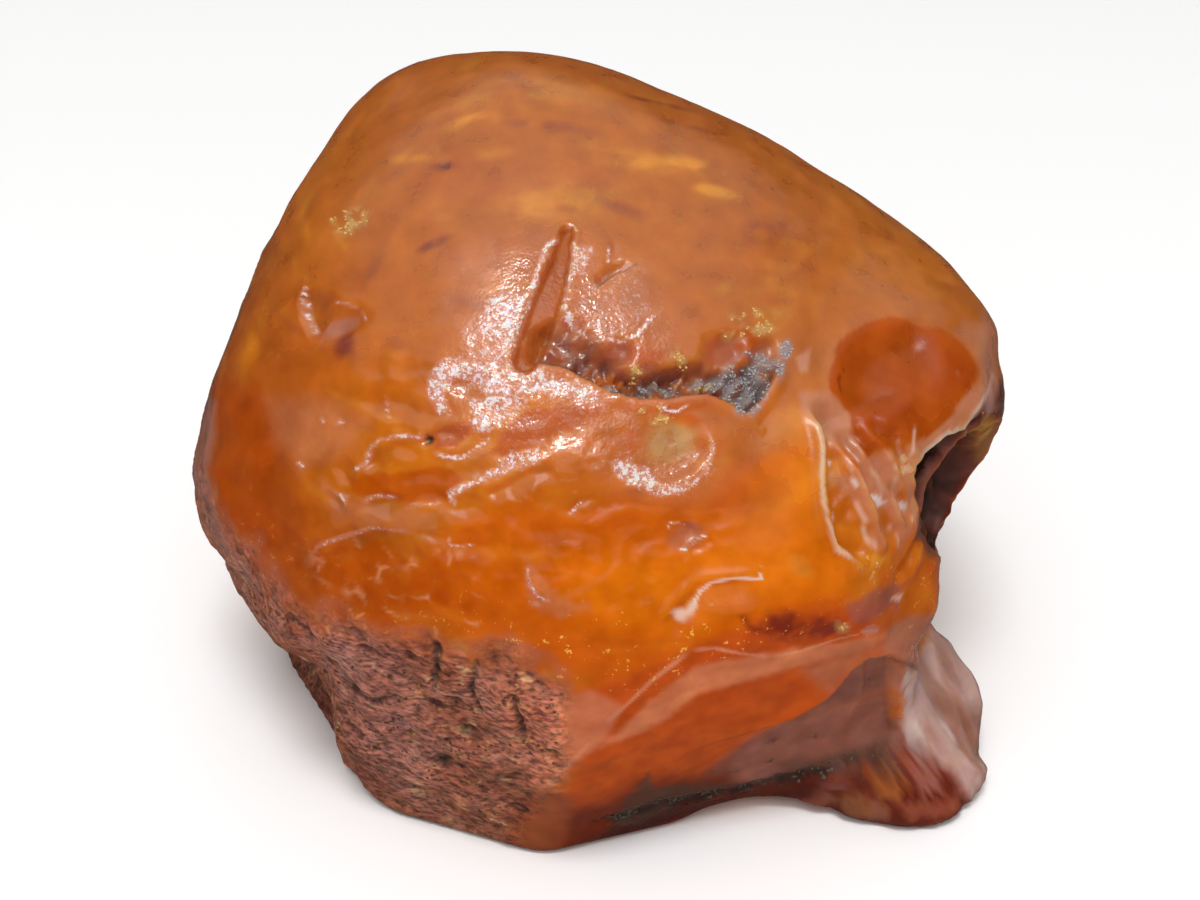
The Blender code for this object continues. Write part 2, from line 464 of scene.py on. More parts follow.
# ---------------------------------------------------------- which skin is which
d_crust, d_cut = facet(P, -21.5, -15.1, 30.6), facet(P, 18.0, -22.5, 30.2)
d_left = facet(P, -62.0, -19.0, 33.5)
frayed = 12.0 * fbm(P, 4.0, 301) + 8.0 * noise(P, 1.4, 302)
low = smooth(-np.abs((P - np.array(LOW_FACE[2])) @ LOW_N), -0.9, -0.15) * smooth(N @ LOW_N, 0.8, 0.95)
cut = np.maximum(smooth(d_cut, -0.75, -0.05) * smooth(d_cut - d_crust, -1.2, 0.25), low)
crust = patch((185, 455), (216, 520), (250, 572), (320, 614), (390, 638), (440, 650), (500, 655), (560, 686),
              (603, 722), (598, 752), (562, 778), (534, 812), (512, 862), (360, 850), (320, 760), (260, 680),
              (190, 580), (180, 500), soft=16.0, fray=frayed, wrap=True)
crust = np.maximum(crust, smooth(d_left, -2.4, -0.5) * smooth(-nz, -0.05, 0.25) * (1.0 - FACING))
crust = np.maximum(crust, smooth(d_crust, -2.4, -0.5) * smooth(d_crust - d_cut, 2.0, 5.0) * (1.0 - FACING))
crust = crust * (1.0 - low)
flute = smooth(-np.abs(ellipsoid(P, FLUTE[0], (FLUTE[1],) * 3)), -0.8, -0.1) * smooth(z, 1.0, 3.0)
notch = smooth(-np.abs(capsule(P, *NOTCH)), -0.9, -0.1)
waist = smooth(-np.abs(capsule(P, *WAIST)), -0.9, -0.1)
foot = smooth(-np.abs(spur(P)), -0.7, -0.05) * smooth(-z, -13.0, -10.0) * smooth(x, 14.0, 17.0)
pleats = patch((944, 596), (934, 624), (920, 648), (905, 670), (903, 690), (907, 715), (913, 738), (925, 750),
               (950, 775), (966, 802), (998, 800), (1000, 730), (975, 660), (960, 600), soft=4.0, wrap=True)
flute = np.maximum(flute * smooth(-P[:, 1] + 2.5 * noise(P, 5.0, 303), 6.0, 14.0) * smooth(-z, -17.0, -12.0), pleats)
foot = foot * (1.0 - flute)
under = smooth(-nz, 0.15, 0.5)                       # faces that look down
base = smooth(-z, -1.0, -0.2)
dome = (1.0 - crust) * (1.0 - cut) * (1.0 - flute) * (1.0 - foot) * (1.0 - notch) * smooth(nz, -0.25, 0.05)
behind = smooth(y, 8.0, 22.0)

H = np.zeros(len(P))          # height over the bare skin, mm
dark = np.zeros(len(P))       # near-black dirt and shadowed cracks, with painted shade along the crease, under the lip and low on the cut
red = np.zeros(len(P))        # oxblood streaks
gold = np.zeros(len(P))       # yellow-orange clouds
pale = np.zeros(len(P))       # milky clouds, and a painted highlight along the notch rim
ochre = np.zeros(len(P))      # dry earthy bits
grey = np.zeros(len(P))       # grey mineral film
mauve = np.zeros(len(P))      # clean, dull fracture faces
satin = np.zeros(len(P))      # extra roughness
sharp = np.zeros(len(P))      # crazed, sparkling skin

# long waves, worn facets and the fine relief of the handled skin
H += 0.16 * swell(P, 17.0, 5) + 0.08 * swell(P, 8.0, 6)
H += dome * (0.10 * noise(P, 5.5, 3) + 0.035 * noise(P, 2.1, 4))

# the front shoulder is thumbed and rippled, the crown is smooth
shoulder = near((430, 470), 13.0, 0.45, (1.35, 1.0), 12.0)
shoulder = np.maximum(shoulder, 0.9 * near((560, 520), 13.0, 0.35, (1.5, 1.0), -8.0))
shoulder = np.maximum(shoulder, 0.7 * near((380, 590), 10.0, 0.3, (1.6, 0.8), -25.0))
left_side = smooth(-x, 22.0, 31.0) * dome
H += shoulder * dome * (0.30 * ridged(P * np.array([0.8, 1.0, 1.35]), 4.2, 11) - 0.25)
H += shoulder * dome * 0.06 * ridged(P, 1.5, 12)
H += 0.22 * left_side * (ridged(P, 5.0, 15) - 0.6)
belt = smooth(-nz, -0.42, -0.12) * dome              # just over the broken faces
p1, p2, _ = cells(P + 0.5 * np.stack([noise(P, 1.8, 16), noise(P, 1.8, 17), noise(P, 1.8, 18)], 1), 2.2, 19)
pocket_gap = p2 - p1
H += belt * (0.10 * ridged(P, 2.6, 21) + 0.05 * noise(P, 0.9, 22))
d1, d2, who = cells(P, 2.3, 8)
H -= belt * 0.30 * bowl(d1 / 0.42) * (who > 0.45)
gold += 0.5 * belt * bowl(d1 / 0.5) * (who > 0.6)

# crazed, sparkling middle round the fissure
craze = np.maximum.reduce([
    near((570, 360), 12.0, 0.25, (1.0, 0.9), 10.0), near((500, 395), 8.5, 0.3),
    near((560, 300), 8.5, 0.3), 0.9 * near((660, 465), 6.0, 0.4, (1.4, 0.7), -10.0),
    0.7 * near((545, 430), 7.0, 0.3, (1.5, 0.6), 15.0)]) * dome
sharp = np.maximum(sharp, craze)
H += craze * (0.050 * ridged(P, 1.2, 41) + 0.022 * noise(P, 0.55, 42))

# ------------------------------------------------------------------ the fissure
stroke = Path((567, 233), (561, 262), (551, 290), (538, 325), (525, 360))
d, t, s = stroke.measure(P)
w = 1.05 * (0.55 + 0.75 * np.sin(np.clip(t, 0.02, 1.0) * pi * 0.72)) + 0.10 * noise(P, 1.4, 51)
in_stroke = smooth(-(d / w), -1.0, -0.72)
H -= 0.85 * in_stroke
H += 0.12 * smooth(-(d / w), -1.9, -1.15) * (1.0 - in_stroke)
sharp = np.maximum(sharp, smooth(-(d / w), -2.3, -1.1) * (1.0 - in_stroke))
smoothed = in_stroke.copy()

lip = Path((522, 362), (545, 363), (566, 367), (590, 380), (612, 391), (640, 398), (668, 398),
           (688, 394), (708, 393), (730, 402), (748, 412), (762, 398), (772, 380), (782, 360))
d, t, s = lip.measure(P)
wide = 2.9 + 0.6 * np.sin(t * 9.0 + 0.6) + 0.6 * noise(P, 2.0, 53)
deep = 0.95 + 1.05 * smooth(t, 0.05, 0.30) - 0.45 * smooth(t, 0.55, 0.66) + 0.35 * smooth(t, 0.7, 0.8)
ends = smooth(t, 0.0, 0.06) * smooth(-t, -1.0, -0.9)
trough = smooth(s, -0.05, 0.22) * smooth(-s, -wide, -0.55 * wide) * ends * (d < 6.0)
H -= deep * trough * (0.50 + 0.62 * ridged(P, 1.5, 54))
H += 0.16 * smooth(-np.abs(s + 0.45), -0.9, -0.1) * ends * (d < 2.0)
brink = smooth(-np.abs(s - 0.12), -0.28, -0.04) * ends * (d < 1.2)
dark = np.maximum(dark, 0.85 * brink)
in_fissure = trough
mauve = np.maximum(mauve, 0.75 * trough)
gold = np.maximum(gold, 0.5 * trough * smooth(noise(P, 1.6, 55), 0.2, 0.5))
sharp = np.maximum(sharp, 0.8 * smooth(-np.abs(s - wide * 0.95), -0.9, -0.1) * ends * (d < 6.0) * smooth(-t, -0.5, -0.3))
# upper edge of the fissure, broken in small bites
for (px, py), r, dp in (((557, 330), 1.7, 0.9), ((575, 327), 1.1, 0.7), ((620, 352), 1.5, 0.8),
                        ((650, 372), 1.2, 0.7), ((672, 378), 1.0, 0.6), ((725, 352), 2.4, 0.8),
                        ((765, 352), 1.7, 0.8), ((700, 372), 1.3, 0.4)):
    q, a, b = local((px, py), 20.0)
    r2 = np.sqrt(a * a + (b * 1.25) ** 2) / r + 0.22 * noise(P, 1.1, 56)
    pit = smooth(-r2, -1.0, -0.35) * (np.abs(q) < 3.0)
    H -= dp * pit * (1.0 - 0.5 * trough)
    mauve = np.maximum(mauve, 0.55 * pit)
    in_fissure = np.maximum(in_fissure, pit)

gash = Path((598, 287), (612, 275), (633, 267))
d, t, s = gash.measure(P)
H -= 0.55 * smooth(s, -0.10, 0.08) * smooth(-s, -1.0, -0.2) * (d < 1.6) * smooth(t, 0, .15) * smooth(-t, -1, -.8)
dark = np.maximum(dark, 0.5 * smooth(-np.abs(s - 0.05), -0.22, -0.03) * (d < 0.4))
pit = near((612, 262), 1.7, 0.4, (0.45, 1.4), -12.0)
H -= 0.18 * pit
sharp = np.maximum(sharp, 0.7 * near((607, 262), 1.5, 0.5, (0.35, 1.6), -8.0))

# grey mineral film and earthy bits along the fissure
for spot, r, sq, turn in (((755, 372), 3.0, (1.25, 0.75), 28.0), ((745, 398), 1.9, (0.9, 1.1), 0.0),
                          ((712, 384), 1.6, (1.4, 0.5), -8.0), ((660, 388), 1.9, (1.6, 0.45), -6.0),
                          ((786, 350), 1.1, (0.6, 1.2), -25.0), ((610, 385), 1.0, (2.0, 0.4), -20.0)):
    g = near(spot, r, 0.5, sq, turn)
    grey = np.maximum(grey, g * smooth(fbm(P, 1.5, 57), -0.35, 0.15))
mineral = patch((711, 374), (734, 370), (746, 362), (764, 370), (772, 380), (768, 394), (762, 407), (749, 415), (735, 404),
                (724, 390), (708, 380), soft=3.0, fray=4.0 * noise(P, 0.8, 155))
grey = np.maximum(grey, mineral * smooth(noise(P, 0.9, 156), -0.5, 0.0))
for spot, r, sq, turn in (((702, 381), 1.5, (1.6, 0.5), -6.0), ((678, 360), 1.6, (1.3, 0.8), 30.0),
                          ((640, 372), 1.0, (1.0, 1.0), 0.0), ((748, 325), 2.6, (1.6, 0.6), 12.0),
                          ((655, 415), 1.6, (1.8, 0.6), 8.0), ((350, 222), 3.0, (1.2, 0.55), 10.0),
                          ((868, 570), 1.6, (1.2, 0.7), -30.0),
                          ((905, 465), 1.2, (0.6, 1.5), 20.0), ((917, 745), 0.9, (1.0, 1.2), 0.0)):
    g = near(spot, r, 0.35, sq, turn)
    ochre = np.maximum(ochre, g * smooth(fbm(P, 1.1, 58), 0.0, 0.35))

# ------------------------------------------------- chips and pits on the shoulder
crescent = Path((303, 286), (300, 305), (305, 325), (316, 340))
d, t, s = crescent.measure(P)
H -= 0.75 * smooth(s, -0.06, 0.12) * smooth(-s, -4.2, -0.3) * smooth(t, 0, .2) * smooth(-t, -1, -.85) * (d < 5)
H += 0.10 * smooth(-np.abs(s + 0.35), -0.7, -0.1) * (d < 1.0)
scoop = near((345, 322), 2.6, 0.25, (1.15, 0.75), 15.0)
H -= 0.45 * scoop
mauve = np.maximum(mauve, 0.9 * near((338, 326), 1.7, 0.5, (1.4, 0.55), 18.0))
red = np.maximum(red, 0.7 * near((345, 345), 1.6, 0.3))
ring = np.sqrt(local((345, 318))[1] ** 2 + (local((345, 318))[2] * 1.1) ** 2)
H += 0.07 * smooth(-np.abs(ring - 2.0), -0.35, -0.05) * near((350, 318), 3.0, 0.9)

for (px, py), r, dp, rag in (
        ((465, 385), 1.75, 0.55, 0.30), ((478, 380), 1.0, 0.30, 0.2), ((428, 440), 0.75, 0.60, 0.1),
        ((405, 405), 1.6, 0.30, 0.3), ((372, 462), 1.3, 0.35, 0.3), ((345, 470), 1.8, 0.40, 0.3),
        ((335, 500), 1.4, 0.35, 0.3), ((450, 425), 2.6, 0.28, 0.25), ((500, 455), 3.2, 0.30, 0.2),
        ((425, 475), 2.8, 0.30, 0.25), ((480, 470), 1.5, 0.18, 0.2), ((385, 505), 2.2, 0.30, 0.3),
        ((470, 505), 1.8, 0.22, 0.2), ((350, 545), 2.4, 0.28, 0.3), ((405, 560), 2.1, 0.25, 0.3),
        ((560, 425), 2.8, 0.22, 0.2), ((620, 450), 2.6, 0.20, 0.2), ((460, 585), 1.8, 0.22, 0.3),
        ((590, 500), 3.0, 0.20, 0.2), ((250, 420), 2.6, 0.25, 0.3), ((232, 480), 2.2, 0.25, 0.3),
        ((268, 345), 2.6, 0.20, 0.3), ((255, 540), 2.4, 0.25, 0.3), ((300, 560), 2.0, 0.22, 0.3),
        ((446, 165), 0.55, 0.35, 0.1), ((415, 432), 0.5, 0.2, 0.2), ((540, 600), 1.6, 0.25, 0.3)):
    q, a, b = local((px, py), (px * 7) % 60 - 30)
    rr = np.sqrt(a * a + (b * 1.3) ** 2) / r + rag * noise(P, 1.6, 61)
    H -= dp * bowl(rr) * (np.abs(q) < 3 * r)
for (px, py), r in (((203, 470), 0.7), ((206, 500), 0.8), ((212, 530), 0.6), ((224, 556), 0.7), ((236, 580), 0.7),
                    ((242, 600), 0.6), ((255, 622), 0.6), ((268, 650), 0.6), ((204, 440), 0.5)):
    g = near((px, py), r, 0.2, (0.55, 1.5), 20.0)
    H -= 0.35 * g
    dark = np.maximum(dark, 0.55 * g)
dark = np.maximum(dark, near((428, 440), 0.5, 0.3))
dark = np.maximum(dark, 0.7 * near((446, 165), 0.45, 0.3))

# steps and wrinkles that catch the light on the shoulder
for spots, drop, width, sign in (
        (((362, 470), (376, 452), (395, 442), (418, 438), (440, 428), (470, 428)), 0.30, 1.8, -1),
        (((352, 502), (375, 500), (405, 492), (432, 489), (460, 492)), 0.22, 1.6, -1),
        (((480, 495), (505, 482), (528, 470), (555, 462)), 0.30, 1.7, -1),
        (((322, 488), (335, 495), (350, 510)), 0.25, 1.3, -1),
        (((440, 455), (455, 452), (470, 445), (485, 430)), 0.18, 1.2, -1),
        (((320, 560), (345, 542), (380, 530), (420, 528)), 0.20, 1.6, -1),
        (((300, 470), (316, 462), (330, 445), (340, 430)), 0.16, 1.2, -1),
        (((610, 470), (635, 480), (662, 482), (690, 472), (706, 455), (712, 438)), 0.30, 2.6, 1),
        (((565, 510), (580, 498), (600, 490)), 0.16, 1.0, -1),
        (((655, 626), (668, 618), (680, 602), (697, 586), (725, 580), (762, 578)), 0.42, 3.0, -1),
        (((530, 575), (534, 590), (546, 602)), 0.26, 0.9, -1),
        (((505, 348), (520, 340), (532, 330)), 0.14, 0.7, 1),
        (((688, 548), (700, 545), (712, 536)), 0.22, 0.9, -1),
        (((672, 524), (686, 522), (698, 527)), 0.20, 0.7, -1)):
    line = Path(*spots)
    d, t, s = line.measure(P)
    s = s * sign
    taper = smooth(t, 0.0, 0.14) * smooth(-t, -1.0, -0.84)
    H -= drop * smooth(s, -0.30, 0.25) * smooth(-s, -width, -0.25) * taper * (d < width + 0.5)
    H += 0.35 * drop * smooth(-np.abs(s + 0.35), -0.8, -0.05) * taper * (d < 1.6)

# round hollow under the fissure, its little chipped eye, the pink chip below
q, a, b = local((672, 448))
rr = np.sqrt((a * 0.9) ** 2 + b * b) / 3.1 + 0.12 * noise(P, 2.0, 62)
H -= 0.75 * bowl(rr) * (np.abs(q) < 6)
pale = np.maximum(pale, 0.55 * near((668, 442), 3.0, 0.3, (1.1, 0.8), 20.0))
ochre = np.maximum(ochre, 0.45 * near((672, 440), 2.4, 0.4, (1.2, 0.8)) * smooth(noise(P, 1.3, 63), -0.2, 0.3))
q, a, b = local((686, 538), 35.0)
rr = np.sqrt((a * 0.75) ** 2 + b * b) / 1.5 + 0.25 * noise(P, 1.4, 64)
H -= 0.35 * bowl(rr) * (np.abs(q) < 4)
mauve = np.maximum(mauve, 0.75 * smooth(-rr, -1.0, -0.5) * (np.abs(q) < 4))

# ---------------------------------------------------- folds on the right shoulder
for spots, drop, width, sign, rise in (
        (((806, 404), (820, 425), (823, 450), (824, 480), (829, 510), (836, 540), (850, 558), (872, 562)), 0.75, 4.2, 1, 0.30),
        (((835, 430), (850, 455), (863, 480), (872, 505), (876, 530), (886, 552)), 0.55, 2.6, 1, 0.30),
        (((846, 425), (862, 445), (876, 470), (893, 500), (905, 530)), 0.40, 2.2, 1, 0.22),
        (((884, 432), (896, 455), (905, 475)), 0.30, 1.6, 1, 0.15),
        (((862, 420), (880, 440), (897, 470), (912, 510)), 0.28, 1.6, 1, 0.18),
        (((893, 585), (906, 570), (915, 550), (918, 530)), 0.35, 1.8, 1, 0.15)):
    line = Path(*spots)
    d, t, s = line.measure(P)
    s = s * sign + 0.25 * noise(P, 2.2, 71)
    taper = smooth(t, 0.0, 0.15) * smooth(-t, -1.0, -0.88)
    H -= 1.45 * drop * smooth(s, -0.12, 0.34) * smooth(-s, -width, -0.35 * width) * taper * (d < width + 1.0)
    H += 1.4 * rise * smooth(-np.abs(s + 0.30), -0.9, -0.05) * taper * (d < 2.0)
# the cheek turns away along a curved crease
turn_line = Path((930, 318), (905, 318), (876, 323), (852, 336), (837, 358), (833, 385), (838, 410), (850, 435))
d, t, s = turn_line.measure(P)
taper = smooth(t, 0.0, 0.15) * smooth(-t, -1.0, -0.85)
H -= 1.0 * smooth(s, 0.0, 3.0) * smooth(-s, -8.5, -3.0) * taper * (d < 10.0)
H += 0.12 * smooth(-np.abs(s), -1.2, -0.1) * taper * (d < 2.0)
folds = np.maximum.reduce([near((868, 500), 6.5, 0.4, (0.7, 1.4), 22.0), near((900, 480), 4.5, 0.4, (0.6, 1.5), 15.0)])
q, a, b = local((870, 500), 62.0)
H += folds * 0.30 * ridged(np.stack([a * 0.28, b, q * 0.5], 1), 1.9, 72)
gold = np.maximum(gold, 0.8 * near((868, 560), 1.6, 0.3, (1.8, 0.5), 5.0) * smooth(noise(P, 0.9, 73), -0.1, 0.3))
gold = np.maximum(gold, 0.6 * near((872, 505), 2.0, 0.3, (0.5, 1.2), 10.0) * smooth(noise(P, 0.9, 74), 0.0, 0.3))

# -------------------------------------------------------------- the broken faces
rough = crust * (1.0 - base)
q, a, b = local((430, 720), -38.0)
grainy = np.stack([a * 0.50, b, q * 0.9], 1)
d1, d2, who = cells(grainy, 1.5, 81)
pits = smooth(-d1, -0.46, -0.16) * (who > 0.45)
d1b, _, whob = cells(grainy + 40.0, 0.95, 82)
pits_b = smooth(-d1b, -0.46, -0.12) * (whob > 0.55)
furrow = ridged(grainy, 2.6, 83)
H += rough * (0.26 * furrow - 0.18 + 0.16 * noise(P, 1.3, 84) + 0.10 * noise(P, 0.75, 85))
H -= rough * (0.38 * pits + 0.22 * pits_b)
H += rough * 0.26 * swell(P, 6.5, 9)
dark = np.maximum(dark, rough * np.clip(0.55 * pits + 0.40 * pits_b + 0.35 * smooth(-furrow, -0.50, -0.20), 0, 0.8))
for spots, wide, dp in ((((512, 690), (518, 715), (521, 745)), 0.55, 0.7), (((535, 752), (562, 750)), 0.45, 0.5),
                        (((436, 640), (438, 668), (430, 690)), 0.5, 0.5), (((395, 735), (428, 742), (455, 735)), 0.45, 0.5),
                        (((478, 655), (470, 690), (480, 720)), 0.4, 0.35), (((345, 690), (372, 700), (400, 695)), 0.45, 0.4)):
    d, t, s = Path(*spots).measure(P)
    d = d + 0.25 * noise(P, 1.4, 86)
    g = smooth(-(d / wide), -1.0, -0.25) * smooth(t, 0, .12) * smooth(-t, -1, -.88)
    H -= dp * g
    dark = np.maximum(dark, 0.75 * g)

# the smooth cut: faint drag lines, one raised lip and a recess below it
q, a, b = local((760, 700), 33.0)
H += cut * (0.030 * noise(np.stack([a * 0.10, b, q], 1), 0.9, 91) + 0.05 * noise(P, 3.4, 92))
q, a, b = local((760, 700), -52.0)
H += cut * 0.025 * ridged(np.stack([a * 0.06, b, q], 1), 1.1, 93)
brow = Path((622, 776), (660, 764), (700, 749), (745, 734), (790, 718), (828, 694), (852, 668), (868, 656),
            (886, 654), (903, 661), (914, 670), cut=20.0)
d, t, s = brow.measure(P)
below = smooth(-s, -0.05, 0.24)
recess = below * (0.12 + 1.45 * smooth(t, 0.12, 0.72)) * smooth(-d, -11.0, -2.5) * smooth(t, 0.0, 0.10)
H -= recess * np.maximum(cut, low) * smooth(-t, -1.0, -0.97)
# the dark line under the right end of the lip is painted shadow
edge = smooth(-np.abs(s + 0.02), -0.30, -0.05) * smooth(t, 0.35, 0.75) * (d < 0.5)
dark = np.maximum(dark, 0.85 * edge * smooth(t, 0.62, 0.8))
H += 0.20 * smooth(-np.abs(s - 0.4), -0.9, -0.05) * smooth(t, 0.2, 0.5) * (d < 1.6)
for (px, py), r, dp in (((775, 746), 0.45, 0.25), ((770, 762), 0.40, 0.2), ((815, 740), 0.35, 0.18),
                        ((700, 800), 0.6, 0.2), ((870, 693), 0.35, 0.2), ((735, 772), 0.4, 0.15)):
    g = near((px, py), r, 0.2, (1.6, 0.8), 20.0)
    H -= dp * g
    dark = np.maximum(dark, 0.6 * g)

# painted shade along the crease over the foot and low on the cut, with a few grey specks
crease = Path((596, 824), (622, 815), (650, 806), (690, 800), (720, 794), (760, 784), (800, 775), (830, 770),
              (860, 767), (885, 762))
d, t, s = crease.measure(P)
d = d + 0.45 * noise(P, 1.8, 94)
crease_shade = smooth(-d, -1.5, -0.2) * smooth(t, 0.0, 0.06)
dark = np.maximum(dark, 0.85 * crease_shade * smooth(fbm(P, 1.2, 95), -0.5, 0.2))
grey = np.maximum(grey, 0.15 * crease_shade * smooth(noise(P, 0.8, 96), 0.1, 0.5))
H -= 0.35 * smooth(-d, -1.1, -0.1)
# a darker patch low on the cut: painted shade
low_shade = near((665, 808), 5.0, 0.2, (2.0, 0.6), 12.0)
dark = np.maximum(dark, 0.45 * low_shade * smooth(fbm(P, 2.0, 97), -0.1, 0.5) * cut)

# ------------------------------------------------ foot, flutes and the dark notch
q, a, b = local((948, 705), 0.0)
run = np.stack([(PX - 945.0) * 0.078, (PY - 700.0) * 0.078], 1)
along = run[:, 0] * 0.42 + run[:, 1] * 0.91
across = run[:, 0] * 0.91 - run[:, 1] * 0.42
H += flute * (0.55 * ridged(np.stack([along * 0.10, across, across * 0], 1), 1.9, 101) - 0.35)
H += flute * 0.14 * ridged(np.stack([along * 0.25, across, across * 0], 1), 0.8, 102)
for spots, drop, width in ((((914, 668), (925, 700), (940, 732), (962, 762), (984, 782)), 0.45, 1.6),
                           (((936, 622), (948, 655), (958, 690), (974, 730)), 0.45, 1.6)):
    d, t, s = Path(*spots).measure(P)
    taper = smooth(t, 0.0, 0.12) * smooth(-t, -1.0, -0.9)
    H -= drop * smooth(s, -0.12, 0.25) * smooth(-s, -width, -0.3) * taper * (d < width + 0.6)
    H += 0.4 * drop * smooth(-np.abs(s + 0.4), -0.9, -0.05) * taper * (d < 1.5)
d1, d2, who = cells(P, 4.2, 103)
H += foot * (0.45 * smooth(d2 - d1, 0.0, 0.5) - 0.28 + 0.16 * noise(P, 2.6, 104))
strip = Path((902, 676), (905, 700), (911, 728), (917, 748))
d, t, s = strip.measure(P)
strip_highlight = smooth(-(d + 0.3 * noise(P, 1.3, 106)), -1.1, -0.3)
red = np.maximum(red, 0.8 * near((955, 672), 1.2, 0.3))
hollow_in = patch((915, 430), (945, 420), (975, 432), (962, 470), (950, 510), (944, 545), (938, 560), (926, 545),
                  (920, 500), (914, 460), soft=5.0)
H -= notch * hollow_in * (1.9 + 0.5 * ridged(P, 2.2, 107))
H += notch * (0.35 * ridged(P, 2.4, 108) - 0.15 + 0.12 * noise(P, 0.9, 109))
rim = Path((916, 452), (917, 478), (924, 515), (934, 550), (940, 590), (937, 620), (926, 642), (911, 662), (903, 678))
d, t, s = rim.measure(P)
H += 0.22 * smooth(-(d + 0.2 * noise(P, 1.5, 109)), -1.0, -0.1)
# pale line along the notch rim: painted highlight
pale = np.maximum(pale, 0.6 * smooth(-(d + 0.25 * noise(P, 1.1, 110)), -0.7, -0.1))

# hidden sides: a little of everything, so that no side is blank
back_skin = behind * smooth(nz, -0.7, -0.1)
H += behind * (0.14 * noise(P, 6.0, 121) + 0.10 * ridged(P, 3.6, 122) - 0.05)
d1, d2, who = cells(P, 6.5, 123)
nick = smooth(-(d1 + 0.10 * noise(P, 1.4, 124)), -0.26, -0.08) * (who > 0.62) * behind
H -= 0.55 * nick
mauve = np.maximum(mauve, 0.45 * nick)
crack = smooth(-np.abs(noise(P, 13.0, 125) + 0.06 * noise(P, 2.0, 126)), -0.022, -0.004) * behind * smooth(noise(P, 16.0, 127), -0.1, 0.2)
H -= 0.30 * crack
dark = np.maximum(dark, 0.55 * crack)
right_rough = smooth(x, 24.0, 29.0) * smooth(-nz, -0.1, 0.35) * smooth(y, -14.0, -6.0)
H += right_rough * (0.22 * ridged(P, 2.8, 128) - 0.12)



# crazed, frosted edges with painted glints, and painted ridge highlights; clear windows that show the deep resin; dull
# haze
def stripe(width, *spots, vary=0.5, fade=0.12):
    d, t, s = Path(*spots, cut=3.0).measure(P)
    w = width * (1.0 - 0.5 * vary + vary * noise(P, 2.0, 151))
    return smooth(-d, -w, -0.35 * w) * smooth(t, -0.01, fade) * smooth(-t, -1.01, -1.0 + fade)


jag = 5.0 * noise(P, 1.6, 152) + 3.0 * noise(P, 0.7, 153)
window = patch((828, 378), (834, 362), (837, 344), (850, 332), (867, 323), (889, 317), (904, 319), (919, 326), (940, 329), (952, 336),
               (965, 349), (977, 371), (972, 386), (961, 397), (951, 415), (937, 428), (926, 438), (918, 437), (915, 425), (910, 441),
               (900, 437), (896, 443), (889, 449), (877, 449), (872, 458), (865, 456), (863, 441), (856, 427), (852, 409),
               (838, 396), (830, 391), soft=1.6)
wall = patch((1020, 372), (998, 386), (986, 402), (972, 418), (963, 431), (948, 435), (937, 444), (926, 453), (918, 463), (915, 476),
             (918, 494), (923, 513), (932, 537), (936, 558), (960, 548), (990, 500), (1024, 440), soft=2.5, fray=0.3 * jag, wrap=True)
crest = stripe(0.42, (1004, 368), (998, 385), (985, 400), (972, 417), (963, 430), (948, 434), (937, 443), (926, 452), (918, 462),
               vary=0.3, fade=0.04)
inward = smooth(-PX, -990.0, -958.0)
H -= 0.85 * wall * (1.0 - notch) * inward
H += 0.28 * crest * inward
